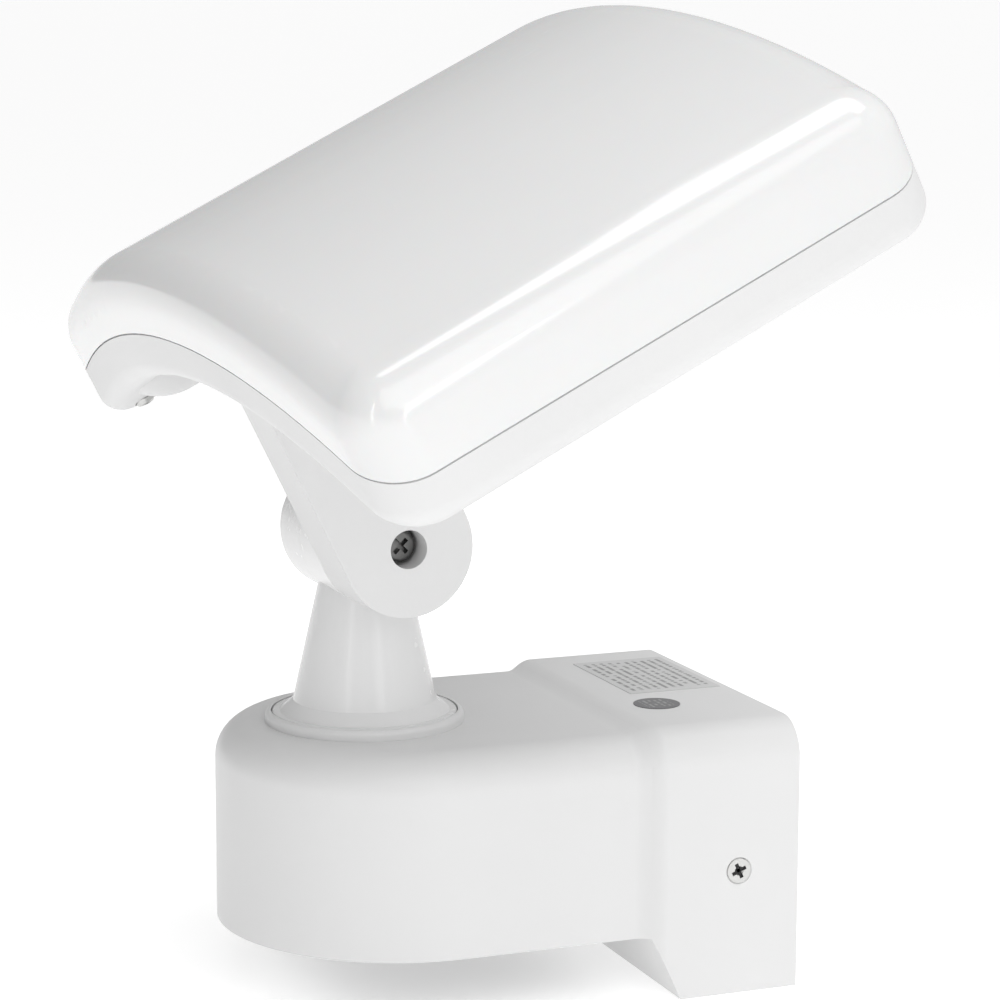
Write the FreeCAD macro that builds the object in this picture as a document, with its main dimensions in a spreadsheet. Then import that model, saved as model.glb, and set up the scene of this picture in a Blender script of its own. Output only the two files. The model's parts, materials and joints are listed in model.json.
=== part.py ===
"""Wall flood light with a solar panel: base, swivelling neck and tilting arched head.

Frame: X along the wall, Y from the light towards the wall (the wall is the plane y = 0),
Z up.  The origin is the middle of the flat back of the base.  Millimetres and degrees.
The head is drawn in its own frame: x along the hinge pin, y along the head towards
the wall, z out of the light's face, with its origin on the hinge pin.
"""
import FreeCAD, Part
import Sketcher
import math
import os
import re
from FreeCAD import Placement, Rotation, Vector

X_AXIS = Vector(1, 0, 0)
Y_AXIS = Vector(0, 1, 0)
Z_AXIS = Vector(0, 0, 1)

SIZES = {
    # wall box and D-shaped body
    "box_width": 106.0, "box_tall": 73.2, "box_deep": 42.2, "foot_deep": 34.2,
    "body_half": 49.6, "body_reach": 95.0, "body_back": 12.0,
    "body_low": -19.5, "body_top": 34.4,
    "wall_thick": 2.5, "ledge": 1.7, "lip": 1.8, "edge_round": 10.0, "soft_round": 2.0,
    # underside cover and solar panel
    "plate_back": 44.7, "plate_thick": 5.0, "seal_thick": 0.8, "slip": 0.2,
    "panel_wide": 76.0, "panel_long": 70.0, "panel_mid": 85.0,
    "glass_thick": 2.0, "cell_thick": 0.3, "backing_thick": 1.2,
    "cell_count": 8, "cell_gap": 0.7, "panel_margin": 3.0,
    "boss_half": 3.3, "boss_side": 43.7, "boss_rear": 50.0, "boss_mid": 92.0,
    "boss_nose": 135.0, "boss_nose_side": 17.0,
    # wall bracket
    "bracket_wide": 99.0, "bracket_tall": 66.5, "bracket_thick": 2.0,
    "bracket_corner": 8.0,
    "tab_long": 26.0, "tab_tall": 18.0, "hole_pitch_x": 60.0, "hole_pitch_z": 40.0,
    "wall_hole": 2.5, "side_screw_y": 17.5, "side_screw_z": -2.9,
    # electrics
    "cell_half": 9.2, "battery_long": 65.0, "battery_y": 20.0, "battery_pitch": 24.0,
    "holder_wide": 74.0, "holder_deep": 10.6,
    "board_wide": 64.0, "board_long": 38.0, "board_mid": 68.0, "board_thick": 1.6,
    "board_z": 15.0, "post_side": 27.0, "post_pitch": 30.0, "post_half": 3.0,
    # labels
    "label_wide": 41.0, "label_long": 27.3, "label_x": -12.8, "label_y": 15.8,
    "label_thick": 0.2, "sticker_half": 6.4, "sticker_x": 21.0, "sticker_y": 27.6,
    # neck
    "neck_reach": 104.6, "flange_top": 37.3, "flange_half": 24.95, "flange_thick": 2.1,
    "collar_half": 26.9, "collar_gap": 0.3, "pad_thick": 0.75, "face_gap": 0.05,
    "stem_foot": 19.95, "stem_taper": 0.22, "stem_flare": 3.0, "stem_bore": 4.5,
    "spigot_half": 11.92, "spigot_hole": 12.0, "spigot_long": 17.0,
    "washer_half": 18.0, "washer_thick": 1.5, "nut_half": 17.0, "nut_tall": 6.0,
    # hinge
    "hinge_z": 85.9, "swivel": 2.8, "tilt": 26.6, "knuckle_half": 18.0,
    "arm_near": 31.3, "arm_far": 13.1, "lug_near": 13.0, "lug_far": -1.9, "cap_far": -16.0,
    "knuckle_gap": 0.4, "counterbore": 5.1, "counterbore_deep": 10.0,
    "pin_half": 2.5, "pin_gap": 0.08, "screw_head": 4.5, "screw_head_tall": 3.2,
    "hex_half": 4.6, "hex_tall": 4.0,
    # head
    "head_wide": 230.0, "head_long": 157.2, "head_front": 29.4, "head_shift": 19.0,
    "arch": 252.0, "seam_z": 77.2, "cover_tall": 19.2, "cover_round": 13.0,
    "head_corner": 13.6, "tray_deep": 14.5, "tray_round": 6.0, "seam_gap": 0.4,
    "cover_thick": 2.5, "arm_flare": 42.0, "arm_top": 72.0, "arm_bend": 30.0,
    # lamp
    "reflector_thick": 1.2, "reflector_inset": 6.0, "reflector_drop": 2.0,
    "strip_wide": 12.0, "strip_long": 132.0, "strip_thick": 1.2, "strip_angle": 9.0,
    "led_side": 3.5, "led_tall": 0.8, "led_pitch": 16.0,
}
STRIPS = 5
LEDS_PER_STRIP = 8
SWELL_INSET = 2.7
SLOPE_ROOM = 1.4

doc = FreeCAD.newDocument("SolarFloodLight")
sheet = doc.addObject("Spreadsheet::Sheet", "Dims")
for row, (alias, number) in enumerate(SIZES.items(), start=1):
    sheet.set("A%d" % row, alias)
    sheet.set("B%d" % row, str(number))
    sheet.setAlias("B%d" % row, alias)
doc.recompute()


def size(alias):
    """Number held by a cell of the sheet."""
    return float(sheet.get(alias))


def formula(text):
    """Turn the aliases in a formula into references to the sheet."""
    def link(match):
        word = match.group(0)
        return "Dims." + word if word in SIZES else word
    return re.sub(r"[a-z][a-z0-9_]*", link, text)


def bind(item, prop, text):
    item.setExpression(prop, formula(text))


def put(item, place, rotation=None):
    """Place an item at formulas for x, y and z, turned by a fixed rotation."""
    item.Placement = Placement(Vector(), rotation or Rotation())
    for axis, text in zip("xyz", place):
        bind(item, "Placement.Base." + axis, text)
    return item


# ---------------------------------------------------------------- primitives

def box(name, sizes, place, rotation=None):
    item = doc.addObject("Part::Box", name)
    for prop, text in zip(("Length", "Width", "Height"), sizes):
        bind(item, prop, text)
    return put(item, place, rotation)


def cylinder(name, radius, height, place, axis=Z_AXIS):
    item = doc.addObject("Part::Cylinder", name)
    bind(item, "Radius", radius)
    bind(item, "Height", height)
    return put(item, place, Rotation(Z_AXIS, axis))


def cone(name, low, high, height, place, axis=Z_AXIS):
    item = doc.addObject("Part::Cone", name)
    bind(item, "Radius1", low)
    bind(item, "Radius2", high)
    bind(item, "Height", height)
    return put(item, place, Rotation(Z_AXIS, axis))


def sphere(name, radius, place):
    item = doc.addObject("Part::Sphere", name)
    bind(item, "Radius", radius)
    return put(item, place)


def fuse(name, items):
    item = doc.addObject("Part::MultiFuse", name)
    item.Shapes = items
    item.Refine = True
    return item


def cut(name, base, tools):
    item = doc.addObject("Part::Cut", name)
    item.Base = base
    item.Tool = tools[0] if len(tools) == 1 else fuse(name + "_tools", tools)
    item.Refine = True
    return item


def group(name, items):
    item = doc.addObject("Part::Compound", name)
    item.Links = items
    return item


# ---------------------------------------------------------------- sketched bodies

def plane(body, role):
    for feature in body.Origin.OriginFeatures:
        if feature.Role == role:
            return feature
    raise RuntimeError("no plane " + role)


def start_sketch(name, role, offset):
    """New body with a sketch on one of its origin planes, moved along the plane's normal."""
    body = doc.addObject("PartDesign::Body", name)
    sketch = body.newObject("Sketcher::SketchObject", name + "_sketch")
    sketch.AttachmentSupport = [(plane(body, role), "")]
    sketch.MapMode = "FlatFace"
    bind(sketch, "AttachmentOffset.Base.z", offset)
    return body, sketch


def pad(body, sketch, length, reverse=False):
    feature = body.newObject("PartDesign::Pad", body.Name + "_pad")
    feature.Profile = sketch
    feature.Reversed = reverse
    bind(feature, "Length", length)
    doc.recompute()
    return feature


def round_edges(body, radius, wanted):
    """Fillet the edges of the body's tip that the test picks."""
    base = body.Tip
    names = ["Edge%d" % (i + 1) for i, edge in enumerate(base.Shape.Edges) if wanted(edge)]
    feature = body.newObject("PartDesign::Fillet", body.Name + "_round")
    feature.Base = (base, names)
    bind(feature, "Radius", radius)
    doc.recompute()
    return feature


def samples(edge):
    count = 5
    first, last = edge.ParameterRange
    return [edge.valueAt(first + (last - first) * i / (count - 1.0)) for i in range(count)]


def along(edge, axis):
    ends = [v.Point for v in edge.Vertexes]
    return len(ends) == 2 and (ends[1] - ends[0]).normalize().isEqual(axis, 1e-6) or \
        len(ends) == 2 and (ends[0] - ends[1]).normalize().isEqual(axis, 1e-6)


def at_height(edge, z):
    return all(abs(p.z - z) < 1e-4 for p in samples(edge))


def line(start, end):
    return Part.LineSegment(Vector(start[0], start[1], 0), Vector(end[0], end[1], 0))


def dim(sketch, kind, args, name, text):
    """Add a named dimension to a sketch and bind it to the sheet."""
    index = sketch.addConstraint(Sketcher.Constraint(kind, *args))
    sketch.renameConstraint(index, name)
    bind(sketch, "Constraints." + name, text)


def rule(sketch, kind, *args):
    sketch.addConstraint(Sketcher.Constraint(kind, *args))


def tongue(name, half, back, low, tall):
    """Block with a D-shaped plan: straight sides and a half-round nose away from the wall."""
    body, sketch = start_sketch(name, "XY_Plane", low)
    r, nose, rear = 40.0, -size("body_reach"), -20.0
    sketch.addGeometry(line((r, rear), (r, nose)))
    sketch.addGeometry(Part.ArcOfCircle(Part.Circle(Vector(0, nose, 0), Z_AXIS, r),
                                        math.pi, 2 * math.pi))
    sketch.addGeometry(line((-r, nose), (-r, rear)))
    sketch.addGeometry(line((-r, rear), (r, rear)))
    rule(sketch, "Coincident", 0, 2, 1, 2)
    rule(sketch, "Coincident", 1, 1, 2, 1)
    rule(sketch, "Coincident", 2, 2, 3, 1)
    rule(sketch, "Coincident", 3, 2, 0, 1)
    rule(sketch, "Vertical", 0)
    rule(sketch, "Vertical", 2)
    rule(sketch, "Horizontal", 3)
    rule(sketch, "PointOnObject", 1, 3, -2)
    rule(sketch, "Horizontal", 1, 1, 1, 3)
    rule(sketch, "Horizontal", 1, 2, 1, 3)
    dim(sketch, "Radius", (1, r), "half_width", half)
    dim(sketch, "DistanceY", (1, 3, -1, 1, -nose), "reach", "body_reach")
    dim(sketch, "DistanceY", (3, 1, -1, 1, -rear), "back", back)
    doc.recompute()
    pad(body, sketch, tall)
    return body


def wall_block(name, inset, back):
    """Wall box: full depth beside the body, cut back to a shallower foot below it."""
    width = "box_width - 2 * (%s)" % inset
    body, sketch = start_sketch(name, "YZ_Plane", "-(%s) / 2" % width)
    rear, low, foot, front, knee, high = 5.0, -36.0, -33.0, -41.0, -19.0, 36.0
    corners = [(rear, low), (foot, low), (front, knee), (front, high), (rear, high)]
    for i, corner in enumerate(corners):
        sketch.addGeometry(line(corner, corners[(i + 1) % 5]))
    for i in range(5):
        rule(sketch, "Coincident", i, 2, (i + 1) % 5, 1)
    rule(sketch, "Horizontal", 0)
    rule(sketch, "Vertical", 2)
    rule(sketch, "Horizontal", 3)
    rule(sketch, "Vertical", 4)
    dim(sketch, "DistanceY", (0, 1, -1, 1, 36.0), "low", "box_tall / 2 - (%s)" % inset)
    dim(sketch, "DistanceY", (-1, 1, 3, 1, 36.0), "high", "box_tall / 2 - (%s)" % inset)
    dim(sketch, "DistanceX", (0, 2, -1, 1, 33.0), "foot", "foot_deep - (%s)" % inset)
    dim(sketch, "DistanceX", (2, 1, -1, 1, 41.0), "front", "box_deep - (%s)" % inset)
    dim(sketch, "DistanceY", (1, 2, -1, 1, 19.0), "knee", "-body_low")
    dim(sketch, "DistanceX", (-1, 1, 4, 1, 5.0), "rear", back)
    doc.recompute()
    pad(body, sketch, width)
    return body


def arched(name, inset, low, high):
    """Rounded slab bent over the head's arch, between two radii of the arch."""
    body, sketch = start_sketch(name, "XZ_Plane", "head_front - (%s)" % inset)
    half, centre, inner, outer = 100.0, -140.0, 200.0, 220.0
    for radius in (outer, inner):
        side = math.acos(half / radius)
        circle = Part.Circle(Vector(0, centre, 0), Z_AXIS, radius)
        sketch.addGeometry(Part.ArcOfCircle(circle, side, math.pi - side))
    top = centre + math.sqrt(outer ** 2 - half ** 2)
    bottom = centre + math.sqrt(inner ** 2 - half ** 2)
    sketch.addGeometry(line((-half, top), (-half, bottom)))
    sketch.addGeometry(line((half, bottom), (half, top)))
    rule(sketch, "Coincident", 0, 2, 2, 1)
    rule(sketch, "Coincident", 2, 2, 1, 2)
    rule(sketch, "Coincident", 1, 1, 3, 1)
    rule(sketch, "Coincident", 3, 2, 0, 1)
    rule(sketch, "Coincident", 0, 3, 1, 3)
    rule(sketch, "PointOnObject", 0, 3, -2)
    rule(sketch, "Vertical", 2)
    rule(sketch, "Vertical", 3)
    dim(sketch, "DistanceY", (0, 3, -1, 1, -centre), "drop", "arch - seam_z")
    dim(sketch, "Radius", (0, outer), "outer", high)
    dim(sketch, "Radius", (1, inner), "inner", low)
    dim(sketch, "DistanceX", (-1, 1, 3, 1, half), "right", "head_wide / 2 - (%s)" % inset)
    dim(sketch, "DistanceX", (2, 1, -1, 1, half), "left", "head_wide / 2 - (%s)" % inset)
    doc.recompute()
    pad(body, sketch, "head_long - 2 * (%s)" % inset, reverse=True)
    return body


def round_corners(body, radius):
    round_edges(body, radius, lambda edge: along(edge, Z_AXIS))


def round_rim(body, radius, arch_radius):
    """Round the edge all round one of the two arched faces of a bent slab."""
    centre_z = size("seam_z") - size("arch")

    def on_face(edge):
        return all(abs(math.hypot(p.x, p.z - centre_z) - arch_radius) < 1e-3
                   for p in samples(edge))
    round_edges(body, radius, on_face)


def bent_sheet(name, inset, low, high):
    """Thin layer of a bent slab with rounded corners."""
    layer = arched(name + "_layer", inset, low, high)
    outline = arched(name + "_outline", inset, "arch - tray_deep", "arch + tray_deep")
    round_corners(outline, "head_corner - (%s)" % inset)
    item = doc.addObject("Part::MultiCommon", name)
    item.Shapes = [layer, outline]
    return item


def body_frame():
    return Placement()


def neck_frame():
    return Placement(Vector(0, -size("neck_reach"), size("hinge_z")),
                     Rotation(Z_AXIS, size("swivel")))


def head_frame():
    frame = neck_frame()
    tilt = Placement(Vector(), Rotation(X_AXIS, size("tilt")))
    return frame.multiply(tilt)


def shifted_head_frame():
    """Frame of the head's own middle plane, which stands beside the neck's axis."""
    return head_frame().multiply(Placement(Vector(size("head_shift"), 0, 0), Rotation()))


# ---------------------------------------------------------------- fasteners

def cross_recess(name, place, axis, wide, deep):
    """Crossed slots that stand for a driver recess, sunk along the screw's axis."""
    turn = Rotation(Z_AXIS, axis)
    slots = []
    for i, quarter in enumerate((45, 135)):
        rotation = turn.multiply(Rotation(Z_AXIS, quarter))
        slot = box("%s_slot%d" % (name, i), (wide, wide + " / 4", deep), place, rotation)
        move = rotation.multVec(Vector(1, 0, 0))
        side = rotation.multVec(Vector(0, 1, 0))
        for k, letter in enumerate("xyz"):
            text = "(%s) - (%s) * %.9f / 2 - (%s) * %.9f / 8" % (
                place[k], wide, move[k], wide, side[k])
            bind(slot, "Placement.Base." + letter, text)
        slots.append(slot)
    return slots


def shift(place, axis, amount):
    """Formulas for a place moved along an axis by an amount."""
    return tuple("(%s) + (%s) * %.9f" % (place[k], amount, axis[k]) for k in range(3))


def sunk_screw(name, place, axis, head, shank, long, head_tall="1.9"):
    """Countersunk screw: its flat head is at the place and its shank points along the axis."""
    back = axis * -1
    head_cone = cone(name + "_head", head, shank, head_tall, place, axis)
    shank_rod = cylinder(name + "_shank", shank, long, place, axis)
    whole = fuse(name + "_whole", [head_cone, shank_rod])
    recess = cross_recess(name, shift(place, back, "0.01"), axis, "%s * 1.1" % head, "1.2")
    return cut(name, whole, recess)


def pan_screw(name, place, axis, head, head_tall, shank, long):
    """Screw with a raised round head that stands on the place."""
    back = axis * -1
    top = shift(place, back, head_tall)
    head_disc = cylinder(name + "_head", head, head_tall, top, axis)
    shank_rod = cylinder(name + "_shank", shank, "%s + %s" % (long, head_tall), top, axis)
    whole = fuse(name + "_whole", [head_disc, shank_rod])
    recess = cross_recess(name, shift(top, back, "0.01"), axis, "%s * 1.1" % head,
                          "%s * 0.6" % head_tall)
    return cut(name, whole, recess)


# ---------------------------------------------------------------- base

def boss_places():
    """Six screw places round the underside cover."""
    places = []
    for side in (1, -1):
        places.append(("%d * boss_side" % side, "-boss_rear"))
        places.append(("%d * boss_side" % side, "-boss_mid"))
        places.append(("%d * boss_nose_side" % side, "-boss_nose"))
    return places


def post_places():
    return [("%d * post_side" % i, "-board_mid + %d * post_pitch / 2" % j)
            for i in (1, -1) for j in (1, -1)]


def base_housing():
    """Moulded case: open at the back for the bracket and below for the solar panel."""
    top = size("body_top")
    body = tongue("body_block", "body_half", "body_back", "body_low", "body_top - body_low")
    round_edges(body, "edge_round", lambda e: at_height(e, top) and not along(e, X_AXIS))
    wall = wall_block("wall_box", "0", "0.001")
    wall_top = size("box_tall") / 2
    round_edges(wall, "edge_round", lambda e: at_height(e, wall_top) and along(e, Y_AXIS))
    front = -size("box_deep")
    round_edges(wall, "soft_round", lambda e: all(abs(p.y - front) < 1e-4 for p in samples(e))
                and not at_height(e, size("body_low")))
    collar = cylinder("collar", "collar_half", "flange_top - body_top + 1",
                      ("0", "-neck_reach", "body_top - 1"))
    collar_soft = soften(collar, size("flange_top"), 1.6)
    outer = fuse("case_outer", [body, wall, collar_soft])
    room = tongue("case_room", "body_half - wall_thick - ledge / 2", "body_back",
                  "body_low + plate_thick + seal_thick",
                  "body_top - body_low - plate_thick - seal_thick - wall_thick")
    round_edges(room, "edge_round - wall_thick",
                lambda e: at_height(e, top - size("wall_thick")) and not along(e, X_AXIS))
    wall_room = wall_block("wall_room", "wall_thick", "5")
    room_top = wall_top - size("wall_thick")
    round_edges(wall_room, "edge_round - wall_thick",
                lambda e: at_height(e, room_top) and along(e, Y_AXIS))
    plate_seat = tongue("plate_seat", "body_half - lip", "plate_back", "body_low - 5",
                        "plate_thick + seal_thick + 5.01")
    recess = cylinder("flange_recess", "flange_half + collar_gap", "10",
                      ("0", "-neck_reach", "body_top"))
    hole = cylinder("neck_hole", "spigot_hole", "30", ("0", "-neck_reach", "body_top - 15"))
    hollow = cut("case_hollow", outer, [room, wall_room, plate_seat, recess])
    floor = "body_low + plate_thick"
    bosses = [cylinder("boss%d" % i, "boss_half", "body_top - edge_round - (%s)" % floor, (x, y, floor))
              for i, (x, y) in enumerate(boss_places())]
    posts = [cylinder("post%d" % i, "post_half", "body_top - 1 - board_z", (x, y, "board_z"))
             for i, (x, y) in enumerate(post_places())]
    neck_ring = cylinder("neck_ring", "spigot_hole + 4", "4",
                         ("0", "-neck_reach", "body_top - wall_thick - 1.5"))
    solid = fuse("case_solid", [hollow] + bosses + posts + [neck_ring])
    drills = [cylinder("drill%d" % i, "1.25", "12", (x, y, floor + " - 0.01"))
              for i, (x, y) in enumerate(boss_places())]
    drills += [cylinder("pilot%d" % i, "1.0", "8", (x, y, "board_z - 0.01"))
               for i, (x, y) in enumerate(post_places())]
    for side in (1, -1):
        axis = X_AXIS * -side
        start = ("%d * (box_width / 2 + 0.01)" % side, "-side_screw_y", "side_screw_z")
        drills.append(cone("side_sink%d" % side, "3.8", "2.1", "1.95", start, axis))
        drills.append(cylinder("side_hole%d" % side, "2.1", "6", start, axis))
    return cut("base_housing", solid, drills + [hole])


def soften(base, z, radius):
    """Fillet the round edge at one height of a primitive."""
    doc.recompute()
    item = doc.addObject("Part::Fillet", base.Name + "_soft")
    item.Base = base
    item.Edges = [(i + 1, radius, radius) for i, e in enumerate(base.Shape.Edges)
                  if at_height(e, z)]
    doc.recompute()
    return item


def panel_block(name, grow, low, tall):
    wide = "panel_wide + 2 * (%s)" % grow
    deep = "panel_long + 2 * (%s)" % grow
    return box(name, (wide, deep, tall),
               ("-(%s) / 2" % wide, "-panel_mid - (%s) / 2" % deep, low))


def bottom_cover():
    """Cover under the body; the solar panel lies in its recess."""
    plate = tongue("cover_plate", "body_half - lip - slip", "plate_back + slip", "body_low",
                   "plate_thick")
    recess = panel_block("panel_recess", "slip", "body_low - 1",
                         "1 + glass_thick + cell_thick + backing_thick")
    tools = [recess]
    for i, (x, y) in enumerate(boss_places()):
        place = (x, y, "body_low - 0.01")
        tools.append(cone("cover_sink%d" % i, "3.1", "1.6", "1.9", place))
        tools.append(cylinder("cover_hole%d" % i, "1.6", "8", place))
    tools.append(cylinder("lead_hole", "3", "8", ("0", "-panel_mid", "body_low + 1")))
    return cut("bottom_cover", plate, tools)


def cover_seal():
    """Rubber ring between the underside cover and the case."""
    low = "body_low + plate_thick"
    outer = tongue("seal_outer", "body_half - lip - slip", "plate_back + slip", low, "seal_thick")
    inner = tongue("seal_inner", "body_half - wall_thick - ledge / 2 - 0.2", "plate_back + 2",
                   low + " - 1", "seal_thick + 2")
    holes = [cylinder("seal_hole%d" % i, "boss_half + 0.1", "4", (x, y, low + " - 1"))
             for i, (x, y) in enumerate(boss_places())]
    return cut("cover_seal", outer, [inner] + holes)


def bottom_cover_screws():
    screws = [sunk_screw("cover_screw%d" % i, (x, y, "body_low"), Z_AXIS, "2.9", "1.24", "14")
              for i, (x, y) in enumerate(boss_places())]
    return group("bottom_cover_screws", screws)


def solar_glass():
    return soften_box("solar_glass", panel_block("glass_block", "0", "body_low", "glass_thick"))


def soften_box(name, base):
    """Break the four upright corners of a plate."""
    doc.recompute()
    item = doc.addObject("Part::Fillet", name)
    item.Base = base
    item.Edges = [(i + 1, 1.5, 1.5) for i, e in enumerate(base.Shape.Edges) if along(e, Z_AXIS)]
    return item


def solar_cells():
    """Row of cell strips behind the glass."""
    low = "body_low + glass_thick"
    count = int(size("cell_count"))
    run = "(panel_long - 2 * panel_margin + cell_gap) / cell_count"
    cells = []
    for i in range(count):
        start = "-panel_mid - panel_long / 2 + panel_margin + %d * %s" % (i, run)
        cells.append(box("cell%d" % i,
                         ("panel_wide - 2 * panel_margin", run + " - cell_gap", "cell_thick"),
                         ("panel_margin - panel_wide / 2", start, low)))
    return group("solar_cells", cells)


def panel_backing():
    return soften_box("panel_backing", panel_block(
        "backing_block", "0", "body_low + glass_thick + cell_thick", "backing_thick"))


def battery_cells():
    return group("battery_cells", [
        cylinder("battery%d" % i, "cell_half", "battery_long",
                 ("-battery_long / 2", "-battery_y", "%.1f * battery_pitch" % step), X_AXIS)
        for i, step in enumerate((0.5, -0.5))])


def battery_holder():
    """Cradle wedged between the floor and the roof of the wall box."""
    tall = "box_tall - 2 * wall_thick"
    block = box("holder_block", ("holder_wide", "holder_deep", tall),
                ("-holder_wide / 2", "-battery_y - holder_deep", "-(%s) / 2" % tall))
    beds = [cylinder("bed%d" % i, "cell_half + 0.1", "battery_long + 4",
                     ("-battery_long / 2 - 2", "-battery_y", "%.1f * battery_pitch" % step),
                     X_AXIS)
            for i, step in enumerate((0.5, -0.5))]
    return cut("battery_holder", block, beds)


def battery_contacts():
    """Four sprung end plates of the battery holder."""
    plates = []
    for side in (1, -1):
        for step in (0.5, -0.5):
            x = "%d * (battery_long / 2 + 0.5) - 0.5" % side
            plates.append(box("contact%d%d" % (side + 1, int(step * 2) + 1),
                              ("1", "holder_deep / 2", "8"),
                              (x, "-battery_y - holder_deep / 2",
                               "%.1f * battery_pitch - 4" % step)))
    return group("battery_contacts", plates)


def controller_board():
    slab = box("board_slab", ("board_wide", "board_long", "board_thick"),
               ("-board_wide / 2", "-board_mid - board_long / 2", "board_z - board_thick"))
    holes = [cylinder("board_hole%d" % i, "1.3", "6", (x, y, "board_z - 4"))
             for i, (x, y) in enumerate(post_places())]
    return cut("controller_board", slab, holes)


def controller_components():
    """Chips, coil, capacitors and sockets under the board."""
    face = "board_z - board_thick"
    chips = [(-9, -6, 8, 8, 2), (6, 4, 6, 5, 1.6), (-18, 8, 6, 5, 2.4), (14, -12, 8, 6, 6),
             (-4, 8, 4, 3, 1.2), (18, 4, 7, 7, 4.5), (-22, -10, 8, 6, 6)]
    items = [box("chip%d" % i, (str(w), str(d), str(t)),
                 (str(x), "-board_mid + %g" % y, "%s - %g" % (face, t)))
             for i, (x, y, w, d, t) in enumerate(chips)]
    items += [cylinder("capacitor%d" % i, "3", "9",
                       ("%d" % x, "-board_mid - 14", face + " - 9"))
              for i, x in enumerate((0, 8))]
    return group("controller_components", items)


def board_screws():
    return group("board_screws", [
        pan_screw("board_screw%d" % i, (x, y, "board_z - board_thick"), Z_AXIS,
                  "2.4", "1.5", "0.98", "7.5")
        for i, (x, y) in enumerate(post_places())])


def wall_plate():
    """Steel bracket screwed to the wall; the case slides over it."""
    plate = box("bracket_plate", ("bracket_wide", "bracket_thick", "bracket_tall"),
                ("-bracket_wide / 2", "-bracket_thick", "-bracket_tall / 2"))
    doc.recompute()
    corner = size("bracket_corner")
    rounded = doc.addObject("Part::Fillet", "bracket_plate_round")
    rounded.Base = plate
    rounded.Edges = [(i + 1, corner, corner) for i, edge in enumerate(plate.Shape.Edges)
                     if along(edge, Y_AXIS)]
    tabs = [box("tab%d" % (side + 1), ("bracket_thick", "tab_long", "tab_tall"),
                ("%d * (bracket_wide / 2 - bracket_thick / 2) - bracket_thick / 2" % side,
                 "-tab_long", "side_screw_z - tab_tall / 2"))
            for side in (1, -1)]
    solid = fuse("bracket_solid", [rounded] + tabs)
    holes = [cylinder("wall_hole%d%d" % (i + 1, j + 1), "wall_hole", "6",
                      ("%d * hole_pitch_x / 2" % i, "2", "%d * hole_pitch_z / 2" % j),
                      Y_AXIS * -1)
             for i in (1, -1) for j in (1, -1)]
    holes.append(cylinder("side_thread", "2.0", "bracket_wide + 10",
                          ("-bracket_wide / 2 - 5", "-side_screw_y", "side_screw_z"), X_AXIS))
    return cut("wall_plate", solid, holes)


def side_screws():
    """Two countersunk screws that lock the case to the bracket."""
    return group("side_screws", [
        sunk_screw("side_screw%d" % (side + 1),
                   ("%d * box_width / 2" % side, "-side_screw_y", "side_screw_z"),
                   X_AXIS * -side, "3.72", "1.95", "9")
        for side in (1, -1)])


def rating_label():
    return box("rating_label", ("label_wide", "label_long", "label_thick"),
               ("label_x - label_wide / 2", "-label_y - label_long / 2", "box_tall / 2"))


def round_sticker():
    return cylinder("round_sticker", "sticker_half", "label_thick",
                    ("sticker_x", "-sticker_y", "box_tall / 2"))


def neck_pad():
    """Nylon ring that the neck's flange turns on."""
    ring = cylinder("pad_ring", "flange_half - 0.5", "pad_thick", ("0", "-neck_reach", "body_top"))
    hole = cylinder("pad_hole", "spigot_hole + 0.3", "10", ("0", "-neck_reach", "body_top - 5"))
    return cut("neck_pad", ring, [hole])


# ---------------------------------------------------------------- neck

def stem_radius(z):
    """Radius of the tapering stem at a height above the flange."""
    return "stem_foot - stem_taper * (%s)" % z


def neck_stem():
    """Turned flange and tapering stem with the middle knuckle of the hinge on top."""
    top = "flange_top - hinge_z"
    flange = cylinder("flange", "flange_half", "flange_thick",
                      ("0", "0", top + " - flange_thick"))
    flange_soft = soften(flange, size("flange_top") - size("hinge_z"), 0.6)
    spigot = cylinder("spigot", "spigot_half", "spigot_long",
                      ("0", "0", top + " - flange_thick - spigot_long + 0.5"))
    flare = cone("flare", "stem_foot + stem_flare", stem_radius("stem_flare"), "stem_flare",
                 ("0", "0", top))
    tall = "hinge_z - flange_top"
    stem = cone("stem", "stem_foot", stem_radius(tall), tall, ("0", "0", top))
    lug = cylinder("lug", "knuckle_half", "lug_near - lug_far", ("lug_far", "0", "0"), X_AXIS)
    solid = fuse("neck_solid", [flange_soft, spigot, flare, stem, lug])
    bore = cylinder("wire_bore", "stem_bore", "60", ("0", "0", "-hinge_z + 8"))
    pin_hole = cylinder("lug_hole", "pin_half + pin_gap", "80", ("-40", "0", "0"), X_AXIS)
    near_room = cylinder("near_room", "knuckle_half + knuckle_gap", "30", ("lug_near", "0", "0"),
                         X_AXIS)
    far_room = cylinder("far_room", "knuckle_half + 0.01", "30", ("lug_far - 30", "0", "0"),
                        X_AXIS)
    return cut("neck_stem", solid, [bore, pin_hole, near_room, far_room])


def hinge_cap():
    """Far knuckle: a cap that holds the hinge nut."""
    disc = cylinder("cap_disc", "knuckle_half", "lug_far - cap_far", ("cap_far", "0", "0"), X_AXIS)
    pocket = prism("cap_pocket", "hex_half + 0.1", "hex_tall + 0.1", ("lug_far - hex_tall - 0.1",
                                                                      "0", "0"))
    hole = cylinder("cap_hole", "pin_half + pin_gap", "8", ("lug_far - 8", "0", "0"), X_AXIS)
    return cut("hinge_cap", disc, [pocket, hole])


def prism(name, radius, height, place):
    """Six-sided bar along X."""
    item = doc.addObject("Part::Prism", name)
    item.Polygon = 6
    bind(item, "Circumradius", radius)
    bind(item, "Height", height)
    return put(item, place, Rotation(Z_AXIS, X_AXIS))


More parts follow.
